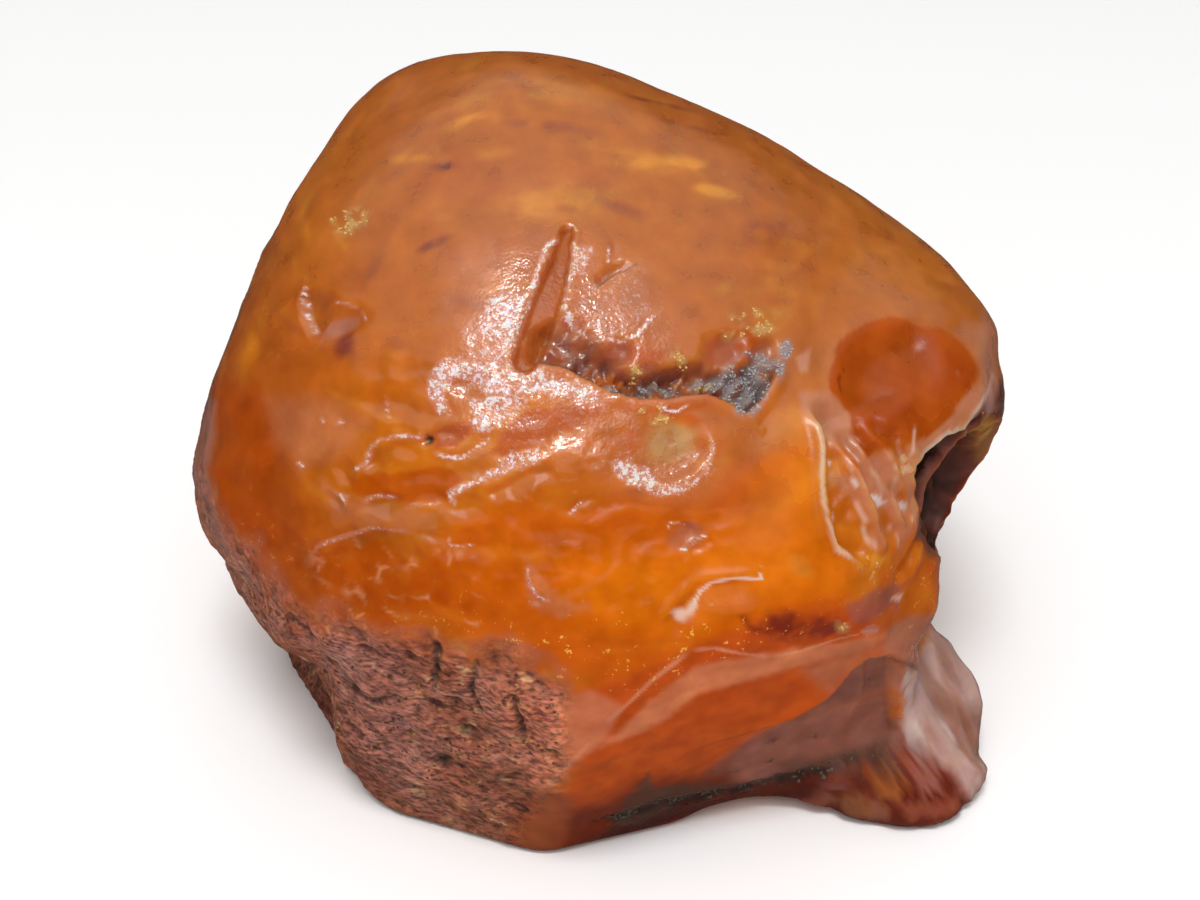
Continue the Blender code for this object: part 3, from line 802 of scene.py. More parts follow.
# crazed skin with painted glints: where the pinkish-white film and white sparks are painted
crazed_glint = np.maximum.reduce([
    stripe(0.34, (571, 236), (559, 239), (545, 250), (537, 272), (533, 296), (523, 322), (514, 350), fade=0.03),
    0.9 * stripe(0.42, (572, 238), (577, 254), (570, 274), (565, 296), (563, 308), (574, 320), (586, 324)),
    0.8 * patch((570, 242), (592, 250), (584, 282), (571, 276), soft=4.0, fray=jag),
    0.95 * patch((478, 326), (486, 300), (505, 288), (524, 294), (522, 318), (512, 344), (492, 340), soft=6.0, fray=jag),
    0.6 * patch((470, 350), (520, 342), (534, 372), (580, 384), (540, 392), (480, 380), soft=9.0, fray=jag),
    0.95 * patch((430, 372), (446, 360), (478, 362), (500, 372), (512, 392), (504, 412), (484, 428), (468, 424), (482, 404),
                 (478, 384), (456, 376), (446, 392), (452, 410), (440, 414), (428, 396), soft=4.0, fray=jag),
    0.95 * patch((496, 366), (532, 366), (566, 378), (600, 392), (596, 402), (556, 394), (520, 396), (498, 386), soft=4.0, fray=jag),
    0.8 * patch((468, 398), (500, 396), (527, 400), (505, 424), (486, 432), (472, 428), soft=6.0, fray=jag),
    0.9 * stripe(0.35, (560, 308), (572, 322), (585, 334), (600, 339), (618, 342), (637, 336), (650, 320), (660, 312)),
    0.8 * patch((560, 342), (578, 342), (580, 356), (564, 358), soft=4.0, fray=jag),
    0.9 * stripe(0.50, (452, 505), (449, 494), (460, 489), (475, 483), (491, 474), (515, 466), (537, 457), fade=0.02),
    0.8 * patch((495, 462), (512, 452), (540, 448), (538, 462), (514, 470), (498, 474), soft=4.0, fray=jag),
    0.9 * patch((606, 462), (628, 456), (648, 466), (654, 484), (690, 484), (686, 496), (650, 494), (622, 480), soft=4.0, fray=jag),
    0.8 * stripe(0.30, (650, 492), (673, 494), (694, 484), (709, 466), (714, 448), (709, 432)),
    stripe(0.22, (569, 516), (576, 508), (584, 500)), stripe(0.26, (658, 404), (668, 411), (680, 411), (690, 404)),
    0.6 * stripe(0.20, (447, 536), (449, 546), (460, 547), (474, 546)),
    0.7 * stripe(0.28, (350, 473), (364, 465), (372, 449), (383, 439), (400, 436), (420, 437), (428, 430)),
    stripe(0.28, (432, 452), (447, 457), (462, 458), (471, 451), (485, 443), (493, 435)),
    0.7 * patch((333, 491), (351, 495), (345, 508), soft=2.5), 0.6 * stripe(0.35, (363, 502), (375, 496), (396, 498)),
    0.6 * stripe(0.20, (409, 505), (432, 504)), 0.7 * stripe(0.22, (386, 396), (388, 410), (391, 424)),
    0.6 * stripe(0.25, (321, 418), (325, 424)), 0.6 * stripe(0.25, (336, 424), (345, 420)), stripe(0.22, (298, 462), (303, 468)),
    0.45 * stripe(0.30, (312, 557), (320, 545), (344, 536), (371, 528), (413, 532)),
    0.9 * stripe(0.16, (608, 245), (609, 258), (607, 270)), 0.8 * stripe(0.16, (622, 268), (632, 263)),
    0.8 * stripe(0.14, (668, 530), (670, 524), (678, 523), (687, 526)), stripe(0.16, (676, 552), (688, 550), (697, 540), (709, 536)),
    0.8 * stripe(0.28, (527, 566), (529, 582), (538, 597), (552, 602)),
    0.9 * stripe(0.18, (306, 282), (301, 296), (303, 318), (312, 334)), 0.5 * stripe(0.2, (330, 300), (355, 306), (366, 322)),
    0.30 * patch((585, 275), (640, 262), (660, 310), (640, 332), (590, 330), (566, 306), soft=12.0, fray=2.0 * jag),
    0.15 * patch((440, 250), (540, 235), (532, 290), (480, 300), (440, 330), soft=16.0, fray=2.0 * jag),
    0.20 * craze])
# painted highlights along ridges and on the S-shaped step
ridge_highlight = np.maximum.reduce([
    stripe(0.20, (693, 606), (701, 593), (713, 583), (734, 579), (763, 579), fade=0.02, vary=0.15),
    0.8 * stripe(0.22, (761, 580), (761, 566)),
    0.40 * stripe(0.30, (812, 415), (820, 438), (819, 475), (822, 503), (828, 529), (835, 549), (850, 556), (853, 564)),
    0.35 * stripe(0.24, (855, 499), (863, 516), (866, 534), (874, 551)),
    0.35 * stripe(0.22, (889, 523), (896, 541), (894, 549)),
    0.30 * stripe(0.24, (897, 441), (905, 456), (907, 475)), 0.30 * stripe(0.22, (915, 426), (911, 456)),
    0.35 * crest, 0.45 * stripe(0.20, (916, 466), (917, 492), (923, 513), (932, 537), (936, 560), (941, 590)),
    0.8 * patch((667, 613), (675, 607), (686, 611), (696, 600), (698, 607), (693, 616), (684, 622), (674, 618), soft=3.0, fray=0.7 * jag)])
crazed_glint = crazed_glint * (1.0 - in_stroke) * (1.0 - 0.6 * trough)
calm = np.maximum.reduce([
    window,
    patch((212, 392), (232, 380), (268, 400), (278, 470), (280, 560), (262, 575), (236, 560), (214, 480), soft=12.0, fray=2.0 * jag),
    0.9 * patch((346, 479), (400, 470), (447, 468), (464, 477), (446, 500), (400, 502), (363, 494), soft=4.0, fray=jag),
    0.9 * patch((432, 432), (459, 421), (476, 425), (455, 449), (436, 448), soft=3.0),
    0.9 * patch((484, 456), (504, 428), (530, 412), (576, 404), (606, 410), (584, 424), (545, 440), (505, 458), soft=4.0, fray=jag),
    0.8 * patch((624, 432), (643, 428), (645, 452), (628, 456), soft=3.0), patch((664, 418), (688, 412), (704, 420), (690, 430), soft=3.0),
    0.8 * patch((316, 556), (380, 542), (404, 562), (350, 602), (320, 592), soft=8.0, fray=jag),
    0.8 * patch((346, 574), (404, 570), (424, 612), (356, 622), soft=8.0, fray=jag),
    patch((456, 520), (520, 500), (566, 516), (600, 500), (700, 500), (730, 470), (790, 440), (812, 440), (820, 520), (850, 560),
          (850, 625), (740, 640), (640, 680), (560, 680), (480, 640), (410, 600), (420, 560), soft=16.0, fray=jag),
    0.9 * patch((600, 350), (620, 343), (664, 352), (664, 362), (616, 364), soft=3.0),
    0.9 * patch((706, 345), (722, 330), (756, 332), (762, 352), (735, 362), (712, 362), soft=4.0),
    patch((556, 252), (566, 246), (570, 262), (560, 300), (546, 336), (530, 352), (524, 344), (538, 306), (546, 274), soft=3.0)])
calm = np.maximum.reduce([calm, in_stroke, notch, wall])
calm = np.maximum(calm, 0.92 * np.maximum(cut, low) * (1.0 - 0.8 * crust)) * (1.0 - 0.8 * np.clip(crazed_glint + ridge_highlight, 0.0, 1.0))
deep = window
H += 0.06 * crazed_glint * noise(P, 0.5, 154) + 0.08 * ridge_highlight

neck = pin((919, 600))[0]
H += 1.5 * np.exp(-(np.linalg.norm((P - neck) * np.array([0.8, 1.0, 0.8]), axis=1) / 3.4) ** 2)
for (px, py), r, up in (((336, 730), 2.0, 0.5), ((350, 762), 1.8, 0.1), ((366, 800), 2.4, 1.1), ((266, 650), 2.4, -0.5),
                        ((978, 728), 1.4, 0.3), ((985, 778), 3.2, 1.3),
                        ((345, 122), 6.0, 0.5), ((738, 118), 7.5, -0.45), ((426, 826), 3.0, -0.8)):
    d = np.linalg.norm(P - pin((px, py))[0], axis=1)
    H += up * np.exp(-(d / r) ** 2)

H -= 1.0 * smooth(PX, 972.0, 1006.0) * smooth(PY, 322.0, 366.0) * smooth(-PY, -466.0, -436.0)
H -= 2.0 * smooth(-PX, -372.0, -300.0) * smooth(PY, 636.0, 680.0) * smooth(-PY, -742.0, -712.0)
H += 0.7 * smooth(PX, 935.0, 968.0) * smooth(PY, 742.0, 772.0)
keep = smooth(P[:, 2], 0.15, 1.4)
H *= keep
P1 = P + N * H[:, None]
P1[:, 2] = np.maximum(P1[:, 2], 0.0)
P1[base > 0.98, 2] = np.where(P[base > 0.98, 2] < 0.05, 0.0, P1[base > 0.98, 2])

# ----------------------------------------------------------------- colour of it
def rgb(*c):
    return np.array(c, float)


def paint(colour, mask, onto):
    m = np.clip(mask, 0.0, 1.0)[:, None]
    return onto * (1.0 - m) + np.asarray(colour) * m


n1 = fbm(P, 16.0, 201)
n2 = fbm(P, 6.0, 202)
n3 = fbm(P, 2.4, 203)
tint = np.tile(rgb(0.74, 0.178, 0.008), (len(P), 1))
tint = paint(rgb(0.60, 0.150, 0.014), smooth(nz, 0.45, 0.85) * 0.8, tint)
tint = paint(rgb(0.88, 0.255, 0.008), smooth(n1, 0.0, 0.9) * (0.7 - 0.4 * smooth(nz, 0.2, 0.6)), tint)
tint = paint(rgb(0.58, 0.110, 0.010), smooth(-n1, 0.1, 0.9) * 0.6, tint)
tint = paint(rgb(0.52, 0.100, 0.005), 0.8 * left_side + 0.45 * behind, tint)
tint = paint(rgb(0.50, 0.095, 0.005), 0.8 * near((370, 590), 12.0, 0.1, (1.0, 1.0)), tint)
tint = paint(rgb(0.55, 0.095, 0.003), 0.9 * near((900, 385), 6.5, 0.3, (1.0, 1.2)), tint)
# bright orange spots: painted glow of light carried through the resin
for spot, r, sq, turn, k in (((800, 470), 6.0, (0.8, 1.3), -20.0, 1.0), ((760, 565), 8.0, (1.6, 0.7), 0.0, 0.9),
                             ((640, 590), 7.0, (1.6, 0.7), -10.0, 0.9), ((520, 430), 8.0, (1.5, 0.6), 20.0, 0.4),
                             ((250, 345), 4.0, (0.7, 1.3), 0.0, 0.5)):
    tint = paint(rgb(0.98, 0.30, 0.006), k * near(spot, r, 0.1, sq, turn), tint)
tint = paint(rgb(0.72, 0.115, 0.004), 0.8 * belt * smooth(n2, -0.5, 0.5), tint)
for spot, r, sq, turn, k in (((470, 122), 2.6, (1.3, 0.5), 12.0, 0.8), ((420, 155), 2.6, (1.6, 0.45), 8.0, 0.75),
                             ((452, 152), 1.6, (1.6, 0.5), 20.0, 0.7), ((690, 165), 3.0, (1.5, 0.45), -8.0, 0.9),
                             ((715, 190), 2.2, (1.5, 0.5), -14.0, 0.8), ((560, 200), 5.0, (1.5, 0.6), 8.0, 0.5),
                             ((640, 160), 3.6, (1.5, 0.5), -5.0, 0.5), ((520, 90), 5.5, (1.8, 0.5), 5.0, 0.4),
                             ((745, 290), 2.6, (1.5, 0.6), 10.0, 0.6), ((660, 75), 4.5, (1.6, 0.4), -15.0, 0.35)):
    g = near(spot, r, 0.15, sq, turn)
    gold = np.maximum(gold, k * g * smooth(fbm(P * np.array([0.7, 1.0, 1.5]), 3.0, 204), -0.45, 0.25))
for spot, r, sq, turn, k in (((432, 244), 1.5, (1.7, 0.45), 25.0, 0.8), ((445, 166), 1.3, (1.6, 0.5), 0.0, 0.7),
                             ((600, 192), 2.0, (0.4, 1.4), -35.0, 0.25), ((660, 104), 3.0, (1.8, 0.25), -10.0, 0.75),
                             ((690, 128), 2.2, (1.8, 0.3), -10.0, 0.5), ((760, 232), 2.4, (1.2, 0.9), 30.0, 0.5),
                             ((375, 262), 2.4, (0.45, 1.6), -15.0, 0.35), ((545, 125), 3.0, (1.9, 0.3), -8.0, 0.45),
                             ((620, 205), 3.0, (1.8, 0.35), -20.0, 0.4), ((320, 300), 2.4, (1.3, 0.6), 0.0, 0.3)):
    red = np.maximum(red, k * near(spot, r, 0.1, sq, turn) * smooth(noise(P, 1.6, 205), -0.6, 0.1))
wisps = smooth(fbm(P * np.array([0.35, 0.6, 1.6]), 3.4, 206), 0.35, 0.95) * dome * smooth(nz, 0.0, 0.5)
tint = paint(rgb(0.98, 0.36, 0.030), 0.35 * wisps, tint)
streaks = smooth(fbm(P * np.array([0.30, 0.6, 1.8]), 3.6, 207), 0.55, 1.05) * dome * smooth(nz, 0.0, 0.5)
tint = paint(rgb(0.40, 0.075, 0.016), 0.50 * streaks, tint)
tint = paint(rgb(1.00, 0.37, 0.035), np.clip(1.2 * gold, 0.0, 0.9), tint)
tint = paint(rgb(0.30, 0.040, 0.020), np.clip(1.25 * red, 0.0, 0.95), tint)
pale = np.maximum(pale, 0.35 * near((800, 566), 1.5, 0.4, (1.1, 0.7), -35.0))
tint = paint(rgb(0.78, 0.42, 0.14), pale, tint)
tint = tint * (1.0 - np.array([0.13, 0.06, 0.10]) * dome[:, None])
tint = tint * (1.0 - np.array([0.0, 0.24, 0.60]) * (np.clip(calm, 0, 1) * (1.0 - deep) * dome)[:, None])

# pinkish haze on the cheek, folds and right edge: painted reflection
painted_pink_haze = np.maximum.reduce([
    patch((800, 392), (829, 391), (838, 396), (852, 409), (856, 427), (863, 442), (868, 458), (880, 468), (893, 484), (890, 500), (875, 482),
          (860, 464), (850, 450), (838, 440), (824, 436), (814, 420), (800, 410), soft=4.0, fray=0.5 * jag),
    patch((972, 386), (998, 380), (985, 400), (965, 428), (947, 434), (926, 452), (915, 475), (918, 500), (930, 536), (936, 560), (924, 545),
          (908, 510), (904, 480), (908, 446), (926, 438), (951, 415), (961, 397), soft=3.5, fray=0.4 * jag),
    patch((868, 458), (890, 450), (900, 470), (904, 500), (912, 530), (900, 540), (890, 520), (876, 500), (866, 486), (852, 470), soft=5.0, fray=jag),
    0.8 * patch((832, 470), (850, 476), (868, 494), (884, 520), (898, 546), (876, 548), (866, 530), (862, 510), (850, 492), (836, 486), soft=4.0,
                fray=jag),
    0.7 * patch((965, 320), (985, 330), (1002, 366), (998, 384), (974, 386), (979, 370), (967, 348), (954, 335), soft=6.0)])
tint = paint(rgb(0.64, 0.27, 0.155), 0.72 * painted_pink_haze * (1.0 - window), tint)
# pale stripes along the fold ridges: painted highlights
for spots in (((896, 438), (905, 456), (907, 475)), ((892, 460), (896, 486), (892, 503)), ((915, 425), (911, 456)),
              ((845, 462), (860, 480), (872, 496)), ((871, 466), (880, 484), (888, 500)), ((900, 500), (912, 520), (924, 548)),
              ((917, 500), (926, 524), (934, 552))):
    tint = paint(rgb(0.80, 0.45, 0.34), 0.55 * stripe(0.28, *spots, vary=0.7), tint)
tint = paint(rgb(0.80, 0.44, 0.30), 0.60 * np.maximum(stripe(0.42, (812, 415), (820, 438), (819, 475), (822, 503), (828, 529), (835, 549), (850, 556),
             (853, 564)), stripe(0.34, (855, 499), (863, 516), (866, 534), (874, 551))), tint)
tint = paint(rgb(0.66, 0.150, 0.003), 0.8 * np.maximum.reduce([
    patch((830, 442), (846, 445), (854, 457), (864, 474), (853, 468), (844, 461), (831, 457), soft=2.5, fray=0.3 * jag),
    patch((833, 491), (848, 488), (859, 508), (864, 528), (855, 528), (837, 519), (830, 502), soft=3.0, fray=0.3 * jag),
    patch((837, 529), (855, 532), (868, 548), (853, 553), (839, 543), soft=2.5, fray=0.3 * jag),
    patch((880, 536), (888, 533), (894, 540), (892, 549), (884, 550), (879, 543), soft=2.0)]), tint)
# small near-white spots on the folds: painted glints
tint = paint(rgb(0.90, 0.80, 0.78), 0.8 * np.maximum.reduce([
    patch((872, 497), (880, 494), (888, 503), (882, 507), soft=1.5, fray=0.4 * jag), patch((898, 504), (906, 503), (909, 511), (902, 512), soft=1.5),
    patch((850, 477), (856, 479), (860, 487), (854, 486), soft=1.5, fray=0.4 * jag), patch((829, 515), (836, 514), (838, 520), (831, 521), soft=1.5),
    patch((829, 459), (835, 461), (834, 466), soft=1.5)]), tint)
# pinkish-white facet near the mineral: painted highlight
tint = paint(rgb(0.76, 0.38, 0.26), 0.6 * patch((796, 358), (811, 347), (808, 371), (800, 372), soft=2.5), tint)

tint = paint(rgb(0.47, 0.080, 0.0003), 0.97 * deep, tint)
tint = paint(rgb(0.40, 0.058, 0.0003), 0.7 * patch((945, 352), (966, 352), (977, 371), (970, 388), (952, 392), (944, 372), soft=6.0), tint)
tint = paint(rgb(0.36, 0.055, 0.0006), 0.5 * patch((880, 392), (900, 380), (912, 410), (904, 436), (884, 430), soft=9.0), tint)
tint = paint(rgb(0.16, 0.020, 0.002), 0.8 * stripe(0.13, (850, 364), (842, 371), (838, 381), (842, 391), fade=0.05), tint)
# two tiny bright specks in the window: painted glints
tint = paint(rgb(0.95, 0.55, 0.35), 0.8 * np.maximum(patch((952, 372), (955, 371), (956, 375), (953, 375), soft=1.0),
             patch((961, 366), (964, 366), (964, 370), (961, 369), soft=1.0)), tint)
tint = paint(rgb(0.42, 0.070, 0.003), 0.75 * patch((212, 392), (232, 380), (268, 400), (290, 470), (330, 560), (350, 610), (262, 590),
             (226, 550), (205, 480), soft=18.0, fray=2.0 * jag), tint)
tint = paint(rgb(0.52, 0.095, 0.003), 0.8 * np.maximum.reduce([
    patch((346, 479), (400, 470), (447, 468), (464, 477), (446, 500), (400, 502), (363, 494), soft=4.0, fray=jag),
    patch((432, 432), (459, 421), (476, 425), (455, 449), (436, 448), soft=3.0),
    patch((484, 456), (504, 428), (530, 412), (576, 404), (606, 410), (584, 424), (545, 440), (505, 458), soft=4.0, fray=jag),
    patch((316, 556), (380, 542), (404, 562), (350, 602), (320, 592), soft=8.0, fray=jag),
    patch((600, 350), (620, 343), (664, 352), (664, 362), (616, 364), soft=3.0),
    patch((706, 345), (722, 330), (756, 332), (762, 352), (735, 362), (712, 362), soft=4.0)]), tint)
tint = paint(rgb(0.42, 0.17, 0.13), 0.60 * mauve, tint)
tint = paint(rgb(0.17, 0.045, 0.040), 0.80 * trough * smooth(noise(P, 1.3, 212), -0.35, 0.25), tint)
tint = paint(rgb(0.62, 0.15, 0.008), 0.85 * trough * smooth(noise(P, 1.7, 213), 0.15, 0.45), tint)
# pale specks in the trough: painted highlights
tint = paint(rgb(0.60, 0.36, 0.28), 0.6 * trough * smooth(noise(P, 0.9, 214), 0.38, 0.55), tint)
crust_colour = np.tile(rgb(0.36, 0.115, 0.068), (len(P), 1))
crust_colour = paint(rgb(0.46, 0.19, 0.145), smooth(n2, 0.0, 0.7) * 0.8, crust_colour)
crust_colour = paint(rgb(0.20, 0.055, 0.035), smooth(-n2, 0.1, 0.8) * 0.7, crust_colour)
crust_colour = paint(rgb(0.66, 0.36, 0.17), smooth(noise(grainy, 1.1, 208) + 0.3 * n1, 0.42, 0.62) * 0.85, crust_colour)
halo = patch((196, 470), (230, 530), (290, 590), (360, 620), (430, 634), (520, 640), (590, 690), (610, 720), (560, 720),
             (470, 680), (380, 660), (300, 630), (240, 590), (205, 530), soft=14.0, fray=1.6 * frayed)
tint = paint(rgb(0.44, 0.15, 0.085), 0.65 * halo * (1.0 - crust), tint)
# salmon and mauve patches on the crust: painted sheen of reflected light
crust_colour = paint(rgb(0.62, 0.20, 0.115), 0.8 * patch((486, 684), (520, 690), (566, 700), (604, 726), (596, 752), (566, 776), (544, 800),
                     (530, 780), (522, 750), (500, 720), soft=14.0, fray=jag), crust_colour)
crust_colour = paint(rgb(0.42, 0.18, 0.150), 0.6 * patch((300, 640), (370, 640), (420, 700), (440, 760), (400, 790), (350, 740), soft=22.0,
                     fray=2.0 * jag), crust_colour)
tint = tint * (1.0 - crust[:, None] * 0.92) + np.clip(crust_colour, 0.02, 1) * crust[:, None] * 0.92

cut_colour = np.tile(rgb(0.60, 0.088, 0.003), (len(P), 1))
# salmon band under the ridge, pinkish right part and mauve recess: painted reflection of the table
cut_colour = paint(rgb(0.76, 0.25, 0.10), 0.85 * patch((600, 745), (650, 700), (700, 665), (760, 652), (860, 638), (905, 628),
                   (860, 650), (770, 674), (700, 694), (640, 730), soft=4.0, fray=0.5 * jag), cut_colour)
cut_colour = paint(rgb(0.50, 0.17, 0.08), 0.7 * patch((800, 670), (850, 645), (930, 628), (905, 668), (870, 652), (830, 690), soft=10.0), cut_colour)
painted_recess_haze = patch((700, 778), (752, 742), (800, 718), (850, 674), (878, 656), (897, 664), (905, 690), (917, 748),
                   (870, 764), (800, 776), (740, 790), soft=6.0)
cut_colour = paint(rgb(0.33, 0.12, 0.085), 0.92 * painted_recess_haze, cut_colour)
# darker patch under the overhanging lip: painted shade
cut_colour = paint(rgb(0.24, 0.085, 0.060), 0.7 * patch((800, 722), (850, 680), (895, 690), (860, 705), soft=8.0), cut_colour)
# dark maroon bands where the cut turns under towards the floor: painted shade
cut_colour = paint(rgb(0.18, 0.020, 0.003), 0.95 * patch((552, 808), (600, 800), (640, 782), (730, 766), (740, 790), (650, 822), (560, 872), (500, 872),
                   soft=14.0, fray=6.0 * n2), cut_colour)
cut_colour = paint(rgb(0.13, 0.016, 0.008), 0.9 * patch((545, 868), (596, 838), (650, 818), (720, 804), (800, 786), (860, 778), (905, 768),
                   (950, 800), (900, 850), (800, 832), (740, 816), (690, 828), (640, 848), (560, 884), soft=6.0, fray=4.0 * n3), cut_colour)
cut_colour = paint(rgb(0.085, 0.013, 0.008), 0.9 * patch((600, 846), (617, 818), (650, 796), (700, 790), (745, 786), (786, 772), (836, 772),
                   (812, 800), (771, 800), (710, 812), (665, 826), (620, 846), soft=5.0, fray=4.0 * n3), cut_colour)
cut_colour = paint(rgb(0.100, 0.048, 0.026), 0.75 * np.maximum(
    patch((612, 822), (625, 795), (648, 772), (656, 788), (700, 784), (764, 782), (720, 797), (660, 808), (632, 824), soft=4.0, fray=1.2 * jag),
    patch((776, 762), (819, 757), (858, 748), (902, 742), (886, 760), (831, 769), (789, 773), soft=6.0)), cut_colour)
cut_colour = cut_colour * (1.0 + 0.14 * np.clip(noise(P, 1.3, 209), -1, 1))[:, None]
both = np.maximum(cut, low)[:, None] * (1.0 - crust[:, None])
tint = tint * (1.0 - both) + cut_colour * both
edge_colour = smooth(n3, -0.9, 0.3)
# darker low at the bottom left where the stone turns under: painted shade
tint = paint(rgb(0.36, 0.075, 0.020), 0.9 * patch((510, 812), (546, 786), (576, 800), (566, 840), (540, 874), (496, 874), soft=7.0), tint)
pocket = patch((306, 548), (400, 534), (470, 556), (484, 640), (400, 640), (336, 618), soft=12.0, fray=jag) * (1.0 - crust)
tint = paint(rgb(0.50, 0.080, 0.003), 0.6 * pocket * smooth(pocket_gap, 0.25, 0.55), tint)
tint = paint(rgb(0.80, 0.36, 0.16), 0.55 * pocket * smooth(-pocket_gap, -0.13, -0.03) * smooth(noise(P, 2.2, 215), -0.1, 0.3), tint)
# pinkish patches on the shoulder and belt: painted haze reflection
tint = paint(rgb(0.62, 0.25, 0.13), 0.40 * np.maximum.reduce([
    patch((320, 480), (345, 500), (400, 507), (440, 512), (432, 530), (380, 527), (335, 520), soft=8.0, fray=jag),
    patch((524, 556), (540, 570), (562, 596), (590, 606), (560, 618), (532, 604), soft=5.0, fray=jag),
    patch((268, 400), (330, 398), (372, 420), (350, 452), (300, 470), (276, 440), soft=14.0, fray=jag)]), tint)
tint = paint(rgb(0.20, 0.020, 0.008), 0.9 * patch((740, 616), (790, 611), (838, 618), (842, 632), (800, 637), (752, 632), soft=6.0,
             fray=jag) * edge_colour, tint)
tint = paint(rgb(0.34, 0.10, 0.075), 0.75 * patch((846, 606), (876, 588), (900, 582), (894, 604), (864, 626), (850, 622), soft=5.0,
             fray=jag), tint)
# salmon patch between crust and cut: painted reflection
tint = paint(rgb(0.74, 0.24, 0.11), 0.8 * patch((560, 700), (590, 690), (622, 704), (604, 738), (576, 760), (550, 786), (536, 800),
             (548, 764), (556, 730), soft=5.0), tint)
tint = paint(rgb(0.44, 0.19, 0.14), 0.8 * patch((206, 392), (194, 440), (190, 500), (200, 540), (212, 566), (240, 600), (262, 620),
             (252, 580), (234, 550), (219, 522), (211, 480), (211, 440), (217, 400), soft=4.0, fray=0.6 * jag), tint)
ochre = np.maximum(ochre, 0.5 * patch((836, 620), (846, 624), (850, 634), (838, 632), soft=3.0, fray=0.6 * jag))
grey = np.maximum(grey, 0.45 * patch((856, 630), (866, 625), (880, 627), (874, 634), (860, 635), soft=2.0, fray=jag))
pale_chip = patch((888, 598), (895, 594), (902, 592), (899, 598), (891, 601), soft=1.5, fray=0.5 * jag)
tint = paint(rgb(0.76, 0.50, 0.38), 0.8 * pale_chip, tint)
# thin light line along the cut's top edge: painted highlight
tint = paint(rgb(0.86, 0.36, 0.19), 0.55 * np.maximum.reduce([
    stripe(0.40, (604, 722), (628, 702), (652, 680), (676, 662), (690, 650), vary=0.2), stripe(0.36, (690, 650), (715, 647), (742, 652), (770, 655)),
    stripe(0.36, (770, 655), (800, 650), (836, 638), (870, 630), (904, 624)), 0.8 * stripe(0.36, (592, 738), (580, 750), (562, 768), (548, 786), vary=0.2)]), tint)
tint = paint(rgb(0.46, 0.17, 0.11), 0.8 * patch((886, 630), (904, 614), (926, 606), (932, 616), (916, 642), (907, 668), (901, 692), (893, 690),
             (896, 664), (884, 646), soft=3.5), tint)
# pale mauve flute face and whitish striations: painted reflection of the bright side
tint = paint(rgb(0.50, 0.28, 0.225), 0.90 * np.maximum(pleats, 0.75 * flute), tint)
tint = paint(rgb(0.80, 0.60, 0.56), flute * smooth(ridged(np.stack([along * 0.12, across, across * 0], 1), 1.7, 210), 0.75, 1.25) * 0.45, tint)
tint = paint(rgb(0.36, 0.165, 0.115), 0.7 * flute * np.maximum(patch((928, 688), (940, 690), (952, 716), (944, 722), (932, 708), soft=3.0),
             patch((950, 700), (960, 706), (970, 738), (962, 742), soft=3.0)), tint)
# white stripes on the flutes: painted highlights
tint = paint(rgb(0.90, 0.76, 0.72), 0.7 * flute * np.maximum.reduce([stripe(0.16, (916, 690), (930, 713), (946, 732), (966, 753), fade=0.05),
             stripe(0.14, (936, 629), (948, 665), (963, 704), (974, 735), fade=0.05), stripe(0.16, (921, 738), (934, 752), (950, 772), (968, 782))]), tint)
tint = paint(rgb(0.34, 0.12, 0.07), flute * patch((950, 700), (985, 715), (990, 760), (970, 760), (955, 730), soft=9.0) * 0.7, tint)
# the white strip: painted highlight
tint = paint(rgb(0.76, 0.58, 0.54), 0.80 * strip_highlight, tint)
tint = paint(rgb(0.15, 0.022, 0.012), 0.92 * foot, tint)
tint = paint(rgb(0.46, 0.11, 0.012), 0.45 * foot * smooth(n3, 0.1, 0.7), tint)
tint = paint(rgb(0.42, 0.16, 0.10), 0.55 * foot * smooth(noise(P, 2.6, 211), 0.1, 0.35), tint)
# coloured facets on the foot; the two mauve ones are painted glints
for colour, k, outline in (((0.42, 0.125, 0.030), 0.85, ((872, 778), (900, 768), (912, 786), (900, 804), (880, 800))),
                           ((0.44, 0.15, 0.11), 0.75, ((914, 762), (936, 768), (944, 790), (924, 796), (912, 780))),
                           ((0.34, 0.14, 0.055), 0.7, ((838, 800), (862, 794), (872, 812), (850, 818))),
                           ((0.36, 0.17, 0.16), 0.7, ((832, 768), (850, 764), (848, 774), (834, 778))),
                           ((0.40, 0.10, 0.05), 0.7, ((900, 806), (940, 800), (962, 790), (950, 812), (910, 820))),
                           ((0.36, 0.16, 0.14), 0.7, ((820, 780), (850, 784), (846, 790), (822, 788)))):
    tint = paint(rgb(*colour), k * patch(*outline, soft=3.0) * np.maximum(foot, low), tint)
# near-black notch and wall: painted shade in the hollow
tint = paint(rgb(0.055, 0.016, 0.012), 0.95 * np.maximum(notch, wall), tint)
tint = paint(rgb(0.24, 0.085, 0.060), 0.60 * np.maximum(notch, wall) * smooth(ridged(P, 1.9, 216), 0.72, 0.95), tint)
tint = paint(rgb(0.006, 0.005, 0.005), 0.98 * np.maximum.reduce([
    patch((914, 468), (924, 453), (942, 442), (964, 438), (970, 448), (956, 464), (954, 482), (944, 500), (930, 514), (918, 506), (912, 488), soft=7.0, fray=1.3 * jag),
    0.85 * patch((924, 516), (938, 520), (946, 536), (938, 556), (932, 540), soft=4.0)]) * np.maximum(notch, wall), tint)
tint = paint(rgb(0.10, 0.085, 0.070), 0.7 * wall * patch((946, 440), (964, 436), (976, 428), (980, 440), (960, 452), (946, 452), soft=4.0, fray=jag), tint)
tint = paint(rgb(0.46, 0.22, 0.035), 0.85 * np.maximum(notch, wall) * patch((976, 428), (990, 418), (1002, 424), (994, 452), (980, 468), (974, 448), soft=5.0,
             fray=jag), tint)
